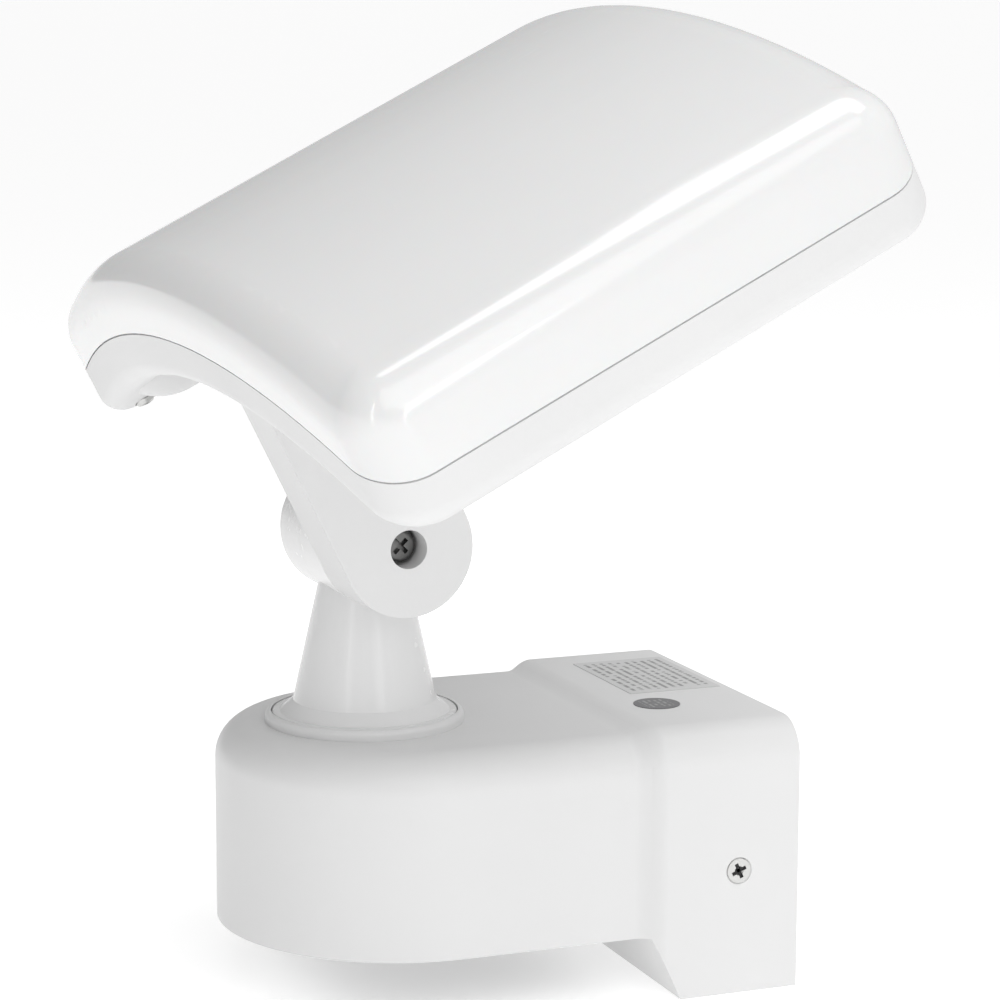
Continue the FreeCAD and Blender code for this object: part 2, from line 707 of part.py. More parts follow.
def hinge_nut():
    nut = prism("nut_block", "hex_half", "hex_tall", ("lug_far - hex_tall - 0.05", "0", "0"))
    hole = cylinder("nut_hole", "pin_half + 0.01", "20", ("lug_far - 12", "0", "0"), X_AXIS)
    return cut("hinge_nut", nut, [hole])


def seat_face():
    return "arm_near - counterbore_deep"


def hinge_washer():
    """Spring washer under the pivot screw's head."""
    ring = cylinder("washer_ring", "screw_head", "1", (seat_face(), "0", "0"), X_AXIS)
    hole = cylinder("washer_hole", "pin_half + 0.01", "10", (seat_face() + " - 4", "0", "0"),
                    X_AXIS)
    return cut("hinge_washer", ring, [hole])


def hinge_screw():
    """Pivot screw: it passes through the arm and the stem into the nut."""
    seat = seat_face() + " + 1"
    head = cylinder("pivot_head", "screw_head - 0.2", "screw_head_tall", (seat, "0", "0"), X_AXIS)
    head_top = size("arm_near") - size("counterbore_deep") + 1 + size("screw_head_tall")
    doc.recompute()
    soft = doc.addObject("Part::Fillet", "pivot_head_soft")
    soft.Base = head
    soft.Edges = [(i + 1, 0.9, 0.9) for i, e in enumerate(head.Shape.Edges)
                  if all(abs(p.x - head_top) < 1e-4 for p in samples(e))]
    doc.recompute()
    start = "lug_far - hex_tall - 1"
    shank = cylinder("pivot_shank", "pin_half", "%s + 0.5 - (%s)" % (seat, start),
                     (start, "0", "0"), X_AXIS)
    whole = fuse("pivot_whole", [soft, shank])
    top = (seat + " + screw_head_tall + 0.01", "0", "0")
    recess = cross_recess("pivot", top, X_AXIS * -1, "screw_head * 1.1", "2")
    return cut("hinge_screw", whole, recess)


def neck_washer():
    low = "body_top - wall_thick - 1.5 - washer_thick - face_gap - hinge_z"
    ring = cylinder("washer_disc", "washer_half", "washer_thick", ("0", "0", low))
    hole = cylinder("washer_bore", "spigot_half + 0.02", "10", ("0", "0", low + " - 4"))
    return cut("neck_washer", ring, [hole])


def neck_nut():
    """Ring nut that pulls the neck down on its pad."""
    low = "body_top - wall_thick - 1.5 - washer_thick - face_gap - nut_tall - hinge_z"
    ring = doc.addObject("Part::Prism", "nut_ring")
    ring.Polygon = 8
    bind(ring, "Circumradius", "nut_half")
    bind(ring, "Height", "nut_tall")
    put(ring, ("0", "0", low))
    hole = cylinder("nut_bore", "spigot_half + 0.02", "14", ("0", "0", low + " - 4"))
    return cut("neck_nut", ring, [hole])


# ---------------------------------------------------------------- head

def arm_profile(name):
    """Side plate of the arm: a round knuckle, an upright front and a rear that flares out."""
    body, sketch = start_sketch(name, "YZ_Plane", "arm_far")
    r, bend, flare, top = 18.0, 30.0, 40.0, 70.0
    sketch.addGeometry(Part.ArcOfCircle(Part.Circle(Vector(), Z_AXIS, r), math.pi, 2 * math.pi))
    corners = [(r, 0), (r, bend), (flare, top), (-r, top), (-r, 0)]
    for start, end in zip(corners, corners[1:]):
        sketch.addGeometry(line(start, end))
    rule(sketch, "Coincident", 0, 3, -1, 1)
    rule(sketch, "Coincident", 0, 2, 1, 1)
    for i in (1, 2, 3):
        rule(sketch, "Coincident", i, 2, i + 1, 1)
    rule(sketch, "Coincident", 4, 2, 0, 1)
    rule(sketch, "Horizontal", 0, 1, 0, 3)
    rule(sketch, "Horizontal", 0, 2, 0, 3)
    rule(sketch, "Vertical", 1)
    rule(sketch, "Horizontal", 3)
    rule(sketch, "Vertical", 4)
    dim(sketch, "Radius", (0, r), "knuckle", "knuckle_half")
    dim(sketch, "DistanceY", (-1, 1, 1, 2, bend), "bend", "arm_bend")
    dim(sketch, "DistanceX", (-1, 1, 2, 2, flare), "flare", "arm_flare")
    dim(sketch, "DistanceY", (-1, 1, 2, 2, top), "top", "arm_top")
    doc.recompute()
    pad(body, sketch, "arm_near - arm_far")
    bind(body, "Placement.Base.x", "-head_shift")
    return body


def swell(name, x, sink, radius):
    """Long rounded swell under the tray, from near the front end to near the rear end."""
    front = "-head_front + %g" % (radius + SWELL_INSET)
    long = "head_long - %g" % (2 * (radius + SWELL_INSET))
    depth = "seam_z - arch + (arch - tray_deep) * cos(asin(%g / (arch - tray_deep))) + %g" % (
        x, sink)
    rod = cylinder(name + "_rod", str(radius), long, (str(x), front, depth), Y_AXIS)
    ends = [sphere(name + "_end%d" % i, str(radius), (str(x), y, depth))
            for i, y in enumerate((front, "%s + %s" % (front, long)))]
    return [rod] + ends


def tray_post_places():
    return [(x, y) for x in (-91, 91) for y in (-14, 112)]


def cover_post_places():
    return [(x, y) for x in (-103.5, 103.5) for y in (-18, 49, 116)]


def arch_height(x, drop):
    """Height over the hinge of a point on the arch, at a distance across the head."""
    radius = size("arch") - drop
    return size("seam_z") - size("arch") + math.sqrt(radius ** 2 - x ** 2)


def head_housing():
    """Moulded tray of the head with its arm."""
    low = size("arch") - size("tray_deep")
    outer = arched("tray_outer", "0", "arch - tray_deep", "arch - seam_gap / 2")
    round_corners(outer, "head_corner")
    round_rim(outer, "tray_round", low)
    inner = arched("tray_inner", "wall_thick", "arch - tray_deep + wall_thick", "arch + 40")
    round_corners(inner, "head_corner - wall_thick")
    round_rim(inner, "tray_round - wall_thick", low + size("wall_thick"))
    swells = []
    for side in (1, -1):
        swells += swell("big_swell%d" % (side + 1), side * 90, 12.5, 18.0)
        swells += swell("small_swell%d" % (side + 1), side * 60, 11.5, 15.0)
    solid = fuse("tray_solid", [outer, arm_profile("arm")] + swells)
    hollow = cut("tray_hollow", solid, [inner])
    posts = []
    drills = []
    for i, (x, y) in enumerate(tray_post_places()):
        floor = arch_height(x, size("tray_deep") - 1)
        face = arch_height(x, size("reflector_drop") + size("reflector_thick")) - SLOPE_ROOM
        posts.append(cylinder("tray_post%d" % i, "3.2", "%.3f" % (face - floor),
                              (str(x), str(y), "%.3f" % floor)))
        drills.append(cylinder("tray_pilot%d" % i, "1.2", "10",
                               (str(x), str(y), "%.3f" % (floor + 1.2))))
    for i, (x, y) in enumerate(cover_post_places()):
        floor = arch_height(x, size("tray_deep") + 0.5)
        drills.append(cylinder("fix_hole%d" % i, "1.7", "20", (str(x), str(y), "%.3f" % floor)))
        drills.append(cylinder("fix_sink%d" % i, "3.1", "12",
                               (str(x), str(y), "%.3f" % (floor - 10.6))))
    solid = fuse("tray_with_posts", [hollow] + posts)
    bore = cylinder("arm_bore", "pin_half + pin_gap", "60", ("-head_shift", "0", "0"), X_AXIS)
    sink = cylinder("arm_sink", "counterbore", "20", (seat_face() + " - head_shift", "0", "0"),
                    X_AXIS)
    return cut("head_housing", solid, drills + [bore, sink])


def diffuser():
    """Glossy opal cover, bent over the arch with well rounded edges."""
    outer = arched("cover_outer", "0", "arch + seam_gap / 2", "arch + cover_tall")
    round_corners(outer, "head_corner")
    round_rim(outer, "cover_round", size("arch") + size("cover_tall"))
    inner = arched("cover_inner", "cover_thick", "arch - 5", "arch + cover_tall - cover_thick")
    round_corners(inner, "head_corner - cover_thick")
    round_rim(inner, "cover_round - cover_thick",
              size("arch") + size("cover_tall") - size("cover_thick"))
    shell = cut("cover_shell", outer, [inner])
    posts = []
    drills = []
    for i, (x, y) in enumerate(cover_post_places()):
        foot = arch_height(x, -1.5)
        top = arch_height(x, -size("cover_tall") + size("cover_thick") / 2)
        posts.append(cylinder("cover_post%d" % i, "2.6", "%.3f" % (top - foot),
                              (str(x), str(y), "%.3f" % foot)))
        drills.append(cylinder("cover_pilot%d" % i, "1.2", "9",
                               (str(x), str(y), "%.3f" % (foot - 0.01))))
    solid = fuse("cover_solid", [shell] + posts)
    return cut("diffuser", solid, drills)


def diffuser_seal():
    outer = bent_sheet("gasket_outer", "0.6", "arch - seam_gap / 2", "arch + seam_gap / 2")
    inner = arched("gasket_inner", "2.3", "arch - tray_deep", "arch + tray_deep")
    round_corners(inner, "head_corner - 2.3")
    return cut("diffuser_seal", outer, [inner])


def reflector_plate():
    """Bent metal sheet that carries the LED strips."""
    slab = bent_sheet("plate_slab", "reflector_inset", "arch - reflector_drop - reflector_thick",
                      "arch - reflector_drop")
    holes = [cylinder("plate_hole%d" % i, "1.5", "20",
                      (str(x), str(y), "%.3f" % (arch_height(x, 12))))
             for i, (x, y) in enumerate(tray_post_places())]
    slots = [cylinder("plate_slot%d" % i, "4.5", "30",
                      (str(x), str(y), "%.3f" % (arch_height(x, 14))))
             for i, (x, y) in enumerate(cover_post_places())]
    return cut("reflector_plate", slab, holes + slots)


def strip_turns():
    middle = (STRIPS - 1) / 2.0
    return [(i - middle) * size("strip_angle") for i in range(STRIPS)]


def on_arch(name, angle, sizes, start, lift):
    """Flat block that lies tangent to the reflector at an angle round the arch."""
    turn = Rotation(Y_AXIS, angle)
    radius = size("arch") - size("reflector_drop") + lift
    corner = turn.multVec(Vector(-sizes[0] / 2.0, 0, radius))
    z = size("seam_z") - size("arch") + corner.z
    return box(name, ["%.4f" % s for s in sizes],
               ("%.4f" % corner.x, "%.4f" % start, "%.4f" % z), turn)


def strip_start():
    return -size("head_front") + (size("head_long") - size("strip_long")) / 2.0


def led_strips():
    return group("led_strips", [
        on_arch("strip%d" % i, angle,
                (size("strip_wide"), size("strip_long"), size("strip_thick")),
                strip_start(), 0.0)
        for i, angle in enumerate(strip_turns())])


def leds():
    side = size("led_side")
    first = strip_start() + (size("strip_long") - (LEDS_PER_STRIP - 1) * size("led_pitch")) / 2.0
    chips = []
    for i, angle in enumerate(strip_turns()):
        for k in range(LEDS_PER_STRIP):
            start = first + k * size("led_pitch") - side / 2.0
            chips.append(on_arch("led%d_%d" % (i, k), angle, (side, side, size("led_tall")),
                                 start, size("strip_thick")))
    return group("leds", chips)


def reflector_screws():
    lift = size("reflector_drop") - 0.1
    return group("reflector_screws", [
        pan_screw("plate_screw%d" % i, (str(x), str(y), "%.3f" % (arch_height(x, lift) + 1.0)),
                  Z_AXIS * -1, "2.6", "1.6", "1.18", "8")
        for i, (x, y) in enumerate(tray_post_places())])


def diffuser_screws():
    screws = []
    for i, (x, y) in enumerate(cover_post_places()):
        seat = arch_height(x, size("tray_deep") + 0.5) + 1.4
        screws.append(pan_screw("fix_screw%d" % i, (str(x), str(y), "%.3f" % seat), Z_AXIS,
                                "2.8", "1.7", "1.18", "17"))
    return group("diffuser_screws", screws)


# ---------------------------------------------------------------- assembly

BASE_PARTS = (base_housing, bottom_cover, cover_seal, bottom_cover_screws, solar_glass,
              solar_cells, panel_backing, battery_cells, battery_holder, battery_contacts,
              controller_board, controller_components, board_screws, wall_plate, side_screws,
              rating_label, round_sticker, neck_pad)
NECK_PARTS = (neck_stem, hinge_cap, hinge_nut, hinge_washer, hinge_screw, neck_washer, neck_nut)
HEAD_PARTS = (head_housing, diffuser, diffuser_seal, reflector_plate, led_strips, leds,
              reflector_screws, diffuser_screws)

parts = []
for makers, frame in ((BASE_PARTS, body_frame), (NECK_PARTS, neck_frame),
                      (HEAD_PARTS, shifted_head_frame)):
    for maker in makers:
        part = maker()
        part.Label = maker.__name__
        if frame is not body_frame:
            part.Placement = frame()
        parts.append(part)
doc.recompute()

failed = [item.Label for item in doc.Objects
          if "Invalid" in item.State or "Error" in item.State]
if failed:
    raise RuntimeError("did not compute: " + ", ".join(failed))
for part in parts:
    if part.Shape.isNull() or not part.Shape.isValid() or not part.Shape.Solids:
        raise RuntimeError("%s has no valid solid" % part.Label)

os.makedirs("parts", exist_ok=True)
for part in parts:
    part.Shape.exportStep("parts/%s.step" % part.Label)
    print("%-24s %3d solids %10.1f mm3" % (part.Label, len(part.Shape.Solids), part.Shape.Volume))
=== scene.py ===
import json
import math

import bmesh
import bpy
from bpy.props import FloatProperty, FloatVectorProperty, IntProperty, PointerProperty
from mathutils import Matrix, Vector


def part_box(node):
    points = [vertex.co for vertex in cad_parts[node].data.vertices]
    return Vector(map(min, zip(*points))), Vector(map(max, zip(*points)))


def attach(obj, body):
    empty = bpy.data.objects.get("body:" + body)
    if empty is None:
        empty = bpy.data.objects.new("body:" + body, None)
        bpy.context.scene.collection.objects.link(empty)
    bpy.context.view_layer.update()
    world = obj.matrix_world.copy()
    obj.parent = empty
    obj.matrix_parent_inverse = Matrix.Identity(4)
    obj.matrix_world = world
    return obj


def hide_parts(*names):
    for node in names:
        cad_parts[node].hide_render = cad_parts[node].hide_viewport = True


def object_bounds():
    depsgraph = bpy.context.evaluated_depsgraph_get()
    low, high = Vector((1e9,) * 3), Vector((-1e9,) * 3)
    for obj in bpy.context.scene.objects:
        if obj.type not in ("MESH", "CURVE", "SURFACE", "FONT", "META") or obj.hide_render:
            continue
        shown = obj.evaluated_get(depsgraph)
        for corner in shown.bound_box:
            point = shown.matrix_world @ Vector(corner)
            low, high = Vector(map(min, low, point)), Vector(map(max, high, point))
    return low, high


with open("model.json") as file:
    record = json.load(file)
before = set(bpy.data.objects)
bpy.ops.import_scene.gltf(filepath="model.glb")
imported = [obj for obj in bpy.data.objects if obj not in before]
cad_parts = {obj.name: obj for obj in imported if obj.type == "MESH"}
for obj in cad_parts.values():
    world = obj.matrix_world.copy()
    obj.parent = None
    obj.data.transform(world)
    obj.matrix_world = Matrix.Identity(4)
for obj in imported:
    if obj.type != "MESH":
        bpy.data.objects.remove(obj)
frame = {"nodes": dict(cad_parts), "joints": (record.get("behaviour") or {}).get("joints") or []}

bl_info = {
    "name": "Solar Flood Light",
    "version": (1, 0, 0),
    "blender": (4, 5, 0),
    "location": "3D View > Sidebar > Flood Light",
    "description": "Dresses the flood light's frame with its finished pieces, materials and stage",
    "category": "Object",
}

CAD_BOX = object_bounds()
MM = 0.001
JOINTS = {joint["name"]: joint for joint in frame["joints"]}
HINGE = Vector(JOINTS["head_tilt"]["pos_m"])
PIN = Vector(JOINTS["head_tilt"]["axis"])
DOWN = Vector((0, 0, -1))
UP = Vector((0, 0, 1))
ALONG_X = Vector((1, 0, 0))
SHARP_ANGLE = 32.0

# soft step of the base case
RAMP_CUTS = 20
SOFT_EDGE = 2.1 * MM
SKIN_DEPTH = 0.5 * MM
SKIN_SLACK = 0.05 * MM
BOX_DEPTH = 2.2 * MM
WELD = 0.02 * MM

# every finish: clouds, rubbed marks and bump
CLOUD_SCALE, RUB_SCALE, RUB_STRETCH = 16.0, 420.0, (1.0, 0.12, 1.0)
RUB_TINT, RUB_GLOSS, BUMP_STRENGTH = 0.35, 0.06, 0.6
GLOSS_LOW, GLOSS_HIGH = 0.9, 1.12

# printed dashes of the labels
ROW_SHIFT, ROW_STEP, DASH_SCALE, INK_STRENGTH, SOFT_MARGIN = 40.0, 7.3, 900.0, 0.75, 0.1 * MM

# screw proportions: parts of the head radius, the head height, the shank radius or the pitch
HEAD_BRIM, HEAD_SKIRT, BRIM_TAPER = 0.3, 0.7, 0.9
CROSS_SHORT, CROSS_LONG, CROSS_DEEP = 0.28, 1.15, 1.1
# the fill sizes place near-black blocks inside the cross slots: painted shade in the recess
SHADE_FILL_SHORT, SHADE_FILL_LONG, SHADE_FILL_DEEP, SHADE_FILL_DROP = 0.26, 1.1, 0.2, -0.30
PIT_WIDE, PIT_DEEP, PIT_DROP, PIT_SIDES = 0.36, 0.8, -0.78, 16
CORE, TIP_LONG, TIP_TAPER, RIDGE_HALF = 0.86, 1.5, 0.55, 0.4
SHANK, SUNK_HEAD, PAN_HEAD, PAN_UNDER = 0.5, 0.62, 0.7, 0.98
SIDE_SHANK, SIDE_HEAD = 0.52, 0.6

# turns of the screws' crosses, in degrees
SCREW_TURN, FIRST_TURN, SIDE_TURN = 37.0, 8, 24

# lamp chip proportions: parts of its side or its height
DOME, LEG_LONG, LEG_WIDE, LEG_TALL, LEG_OUT, LEG_DROP = 0.38, 0.6, 0.12, 0.3, 0.53, -0.85

# studio, in metres and degrees
FLOOR_RADIUS, FLOOR_GAP = 200.0, 0.2 * MM
KEY_PLACE, KEY_SIZE = Vector((0.75, -0.15, 0.64)) * 1.5, (1.1, 1.1)
OVERHEAD_PLACE, OVERHEAD_SIZE = Vector((0.1, 0.1, 1.1)), (0.45, 0.9)
STRIP_TURNS = (("left_strip_light", -26), ("right_strip_light", 28))
STRIP_REACH, STRIP_SIZE = 1.2, (0.07, 0.8)
SENSOR_MM, CLIP_NEAR, CLIP_FAR = 36.0, 0.01, 500.0


# ------------------------------------------------------------------ settings

def colour(name, description, default):
    return FloatVectorProperty(name=name, description=description, subtype="COLOR",
                               size=3, min=0.0, max=1.0, default=default)


def length(name, description, default):
    return FloatProperty(name=name, description=description, unit="LENGTH",
                         min=0.0, default=default, precision=5)


def angle(name, description, degrees):
    return FloatProperty(name=name, description=description, subtype="ANGLE",
                         default=math.radians(degrees))


class FloodLightColours(bpy.types.PropertyGroup):
    case: colour("Case", "Moulded case, tray and stem", (0.725, 0.725, 0.725))
    cover: colour("Cover", "Glossy opal cover over the lamps", (0.765, 0.765, 0.765))
    metal: colour("Zinc", "Plated screws, washers and bracket", (0.62, 0.62, 0.61))
    silicon: colour("Solar cell", "Dark silicon of the solar cells", (0.012, 0.022, 0.065))
    film: colour("Label film", "Printed rating label", (0.62, 0.62, 0.62))
    foil: colour("Round sticker", "Dark foil of the round sticker", (0.13, 0.13, 0.135))
    sleeve: colour("Battery sleeve", "Shrink sleeve of the battery cells", (0.05, 0.19, 0.42))
    board: colour("Circuit board", "Solder mask of the controller", (0.012, 0.13, 0.05))
    phosphor: colour("Phosphor", "Lamp chips when they are off", (0.80, 0.62, 0.10))


class FloodLightSizes(bpy.types.PropertyGroup):
    edge_ease: length("Edge ease", "Width of the eased hard edges of mouldings", 0.45 * MM)
    metal_ease: length("Metal ease", "Width of the eased edges of pressed metal", 0.2 * MM)
    thread_pitch: length("Thread pitch", "Distance between thread ridges", 0.8 * MM)
    finger_pitch: length("Finger pitch", "Distance between the lines on a solar cell", 2.0 * MM)
    finger_width: length("Finger width", "Width of the lines on a solar cell", 0.12 * MM)
    bar_width: length("Busbar width", "Width of the busbar of a solar cell", 0.9 * MM)
    lens_rise: length("Lens rise", "Height of the phosphor dome on a lamp chip", 0.35 * MM)
    rest_tilt: angle("Rest tilt", "Tilt of the head at rest", 26.6)
    body_half: length("Body half width", "Half width of the body in front", 49.6 * MM)
    body_top: length("Body top", "Height of the body's top over the middle", 34.4 * MM)
    box_deep: length("Box depth", "Depth of the wall box", 42.2 * MM)
    case_corner: length("Case corner", "Radius of the case's long top edges", 10.0 * MM)
    ramp_wide: length("Ramp width", "Width of the soft step of the case", 8.4 * MM)
    round_steps: IntProperty(name="Round steps", description="Sides of the small round parts",
                             min=12, max=96, default=40)


class FloodLightStage(bpy.types.PropertyGroup):
    lens: FloatProperty(name="Lens", description="Focal length in millimetres",
                        min=10.0, default=111.03)
    distance: length("Distance", "Camera to target", 0.8436)
    azimuth: angle("Azimuth", "Camera direction round the light", 68.408)
    elevation: angle("Elevation", "Camera height angle", 9.351)
    roll: angle("Roll", "Camera roll", 0.176)
    target: FloatVectorProperty(name="Target", description="Point the camera looks at",
                                subtype="TRANSLATION", size=3,
                                default=(-0.00487, -0.06353, 0.09107))
    ambient: FloatProperty(name="Ambient", description="Strength of the even studio light",
                           min=0.0, default=0.55)
    fall: FloatProperty(name="Fall", description="How much darker the even light is on the left",
                        min=0.0, max=1.0, default=0.4)
    overhead: FloatProperty(name="Overhead", description="Power of the light above in watts",
                            min=0.0, default=4.2)
    key: FloatProperty(name="Key", description="Power of the large soft light in watts",
                       min=0.0, default=4.5)
    edge: FloatProperty(name="Edge", description="Power of each narrow light in watts",
                        min=0.0, default=0.8)
    floor_glow: FloatProperty(name="Floor glow", description="Light given off by the pale floor",
                              min=0.0, default=0.46)


# ------------------------------------------------------------------ node helpers

def grow(tree, kind, values=None, **settings):
    """Adds a node; each value is a number, or another node's socket to link."""
    node = tree.nodes.new(kind)
    for name, setting in settings.items():
        setattr(node, name, setting)
    for key, value in (values or {}).items():
        if isinstance(value, bpy.types.NodeSocket):
            tree.links.new(value, node.inputs[key])
        else:
            node.inputs[key].default_value = value
    return node


def spread(tree, source, low, high, to_low=0.0, to_high=1.0):
    """Maps low..high of a socket to to_low..to_high, clamped."""
    node = grow(tree, "ShaderNodeMapRange", {"Value": source, "From Min": low, "From Max": high,
                                             "To Min": to_low, "To Max": to_high})
    return node.outputs["Result"]


def sums(tree, operation, first, second=0.0):
    node = grow(tree, "ShaderNodeMath", {0: first, 1: second}, operation=operation)
    return node.outputs[0]


def blend_colours(tree, factor, first, second):
    node = grow(tree, "ShaderNodeMix", {"Factor": factor}, data_type="RGBA")
    for key, value in (("A", first), ("B", second)):
        socket = [s for s in node.inputs if s.name == key and s.type == "RGBA"][0]
        if isinstance(value, bpy.types.NodeSocket):
            tree.links.new(value, socket)
        else:
            socket.default_value = (*value, 1.0)
    return [s for s in node.outputs if s.type == "RGBA"][0]


def shaded(rgb, factor):
    return tuple(min(1.0, channel * factor) for channel in rgb)


def noise(tree, coords, scale, detail=2.0, stretch=None):
    if stretch:
        coords = grow(tree, "ShaderNodeMapping", {"Vector": coords, "Scale": stretch}).outputs[0]
    return grow(tree, "ShaderNodeTexNoise", {"Vector": coords, "Scale": scale,
                                             "Detail": detail}).outputs["Fac"]


def object_coords(tree):
    return grow(tree, "ShaderNodeTexCoord").outputs["Object"]


def surface(name, rgb, roughness, grain, depth, mottle, streak=None, paint=None, **constants):
    """Finish with fine grain, slow mottling of colour and gloss, and faint rubbed marks."""
    if name in bpy.data.materials:
        return bpy.data.materials[name]
    material = bpy.data.materials.new(name)
    material.use_nodes = True
    tree = material.node_tree
    tree.nodes.clear()
    coords = object_coords(tree)
    slow = noise(tree, coords, CLOUD_SCALE, 3.0)
    rub = noise(tree, coords, RUB_SCALE, 2.0, RUB_STRETCH)
    rubbed = sums(tree, "MULTIPLY", spread(tree, rub, 0.60, 0.72), spread(tree, slow, 0.5, 0.65))
    tone = blend_colours(tree, spread(tree, slow, 0.3, 0.7), rgb, shaded(rgb, 1.0 - mottle))
    tone = blend_colours(tree, sums(tree, "MULTIPLY", rubbed, RUB_TINT), tone,
                         shaded(rgb, 1.0 - 2.0 * mottle))
    if paint:
        tone = paint(tree, coords, tone)
    gloss = spread(tree, slow, 0.25, 0.75, roughness * GLOSS_LOW, roughness * GLOSS_HIGH)
    gloss = sums(tree, "ADD", gloss, sums(tree, "MULTIPLY", rubbed, RUB_GLOSS))
    fine = noise(tree, coords, grain, 2.0, streak)
    bump = grow(tree, "ShaderNodeBump", {"Height": fine, "Distance": depth,
                                         "Strength": BUMP_STRENGTH})
    shader = grow(tree, "ShaderNodeBsdfPrincipled",
                  {"Base Color": tone, "Roughness": gloss, "Normal": bump.outputs[0],
                   **constants})
    out = grow(tree, "ShaderNodeOutputMaterial")
    tree.links.new(shader.outputs[0], out.inputs["Surface"])
    material.diffuse_color = (*rgb, 1.0)
    return material


# ------------------------------------------------------------------ finishes

def crystal_paint(tree, coords, tone):
    """Cloudy crystals of a silicon cell."""
    cells = grow(tree, "ShaderNodeTexVoronoi", {"Vector": coords, "Scale": 220.0})
    level = grow(tree, "ShaderNodeRGBToBW", {"Color": cells.outputs["Color"]}).outputs[0]
    bright = blend_colours(tree, 0.5, tone, (0.02, 0.05, 0.13))
    return blend_colours(tree, spread(tree, level, 0.2, 0.8), tone, bright)


def sleeve_paint(tree, coords, tone):
    """Bare steel at the two ends of a battery cell."""
    x = grow(tree, "ShaderNodeSeparateXYZ", {"Vector": coords}).outputs["X"]
    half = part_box("battery_cells")[1].x
    end = spread(tree, sums(tree, "ABSOLUTE", x), half - 1.3 * MM, half - 1.1 * MM)
    ring = spread(tree, sums(tree, "ABSOLUTE", sums(tree, "SUBTRACT", x, half - 6 * MM)),
                  0.7 * MM, 0.5 * MM)
    return blend_colours(tree, end, blend_colours(tree, ring, tone, (0.8, 0.8, 0.8)),
                         (0.55, 0.55, 0.54))


def trace_paint(scale, line):
    """Copper tracks under solder mask, as a fine brick of lines."""
    def paint(tree, coords, tone):
        tracks = grow(tree, "ShaderNodeTexBrick", {"Vector": coords, "Scale": scale,
                                                   "Mortar Size": 0.03, "Mortar Smooth": 0.2})
        return blend_colours(tree, tracks.outputs["Fac"], tone, line)
    return paint


def part_paint(tree, coords, tone):
    """Pale printed ends on small black parts."""
    bands = grow(tree, "ShaderNodeTexWave", {"Vector": coords, "Scale": 60.0, "Distortion": 1.5})
    return blend_colours(tree, spread(tree, bands.outputs["Fac"], 0.93, 0.99), tone,
                         (0.5, 0.5, 0.48))


def rows_paint(node_name, rows, ink, reach):
    """Rows of plain printed dashes inside a margin; they spell nothing."""
    low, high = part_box(node_name)
    middle, wide, deep = (low + high) / 2, high.x - low.x, high.y - low.y

    def paint(tree, coords, tone):
        place = grow(tree, "ShaderNodeSeparateXYZ", {"Vector": coords})
        u = sums(tree, "SUBTRACT", place.outputs["X"], middle.x)
        v = sums(tree, "SUBTRACT", place.outputs["Y"], middle.y)
        row = sums(tree, "MULTIPLY", v, rows / deep)
        line = spread(tree, sums(tree, "ABSOLUTE", sums(
            tree, "SUBTRACT", sums(tree, "FRACT", sums(tree, "ADD", row, ROW_SHIFT)), 0.5)),
            0.24, 0.18)
        spot = grow(tree, "ShaderNodeCombineXYZ", {
            "X": sums(tree, "MULTIPLY", u, DASH_SCALE),
            "Y": sums(tree, "MULTIPLY", sums(tree, "FLOOR", row), ROW_STEP)}).outputs[0]
        dash = spread(tree, noise(tree, spot, 1.0, 0.0), 0.42, 0.46)
        inside = sums(tree, "MULTIPLY",
                      spread(tree, sums(tree, "ABSOLUTE", u), wide * reach + SOFT_MARGIN,
                             wide * reach),
                      spread(tree, sums(tree, "ABSOLUTE", v), deep * reach + SOFT_MARGIN,
                             deep * reach))
        mask = sums(tree, "MULTIPLY", sums(tree, "MULTIPLY", line, dash), inside)
        return blend_colours(tree, sums(tree, "MULTIPLY", mask, INK_STRENGTH), tone, ink)
    return paint


METAL = {"Metallic": 1.0}

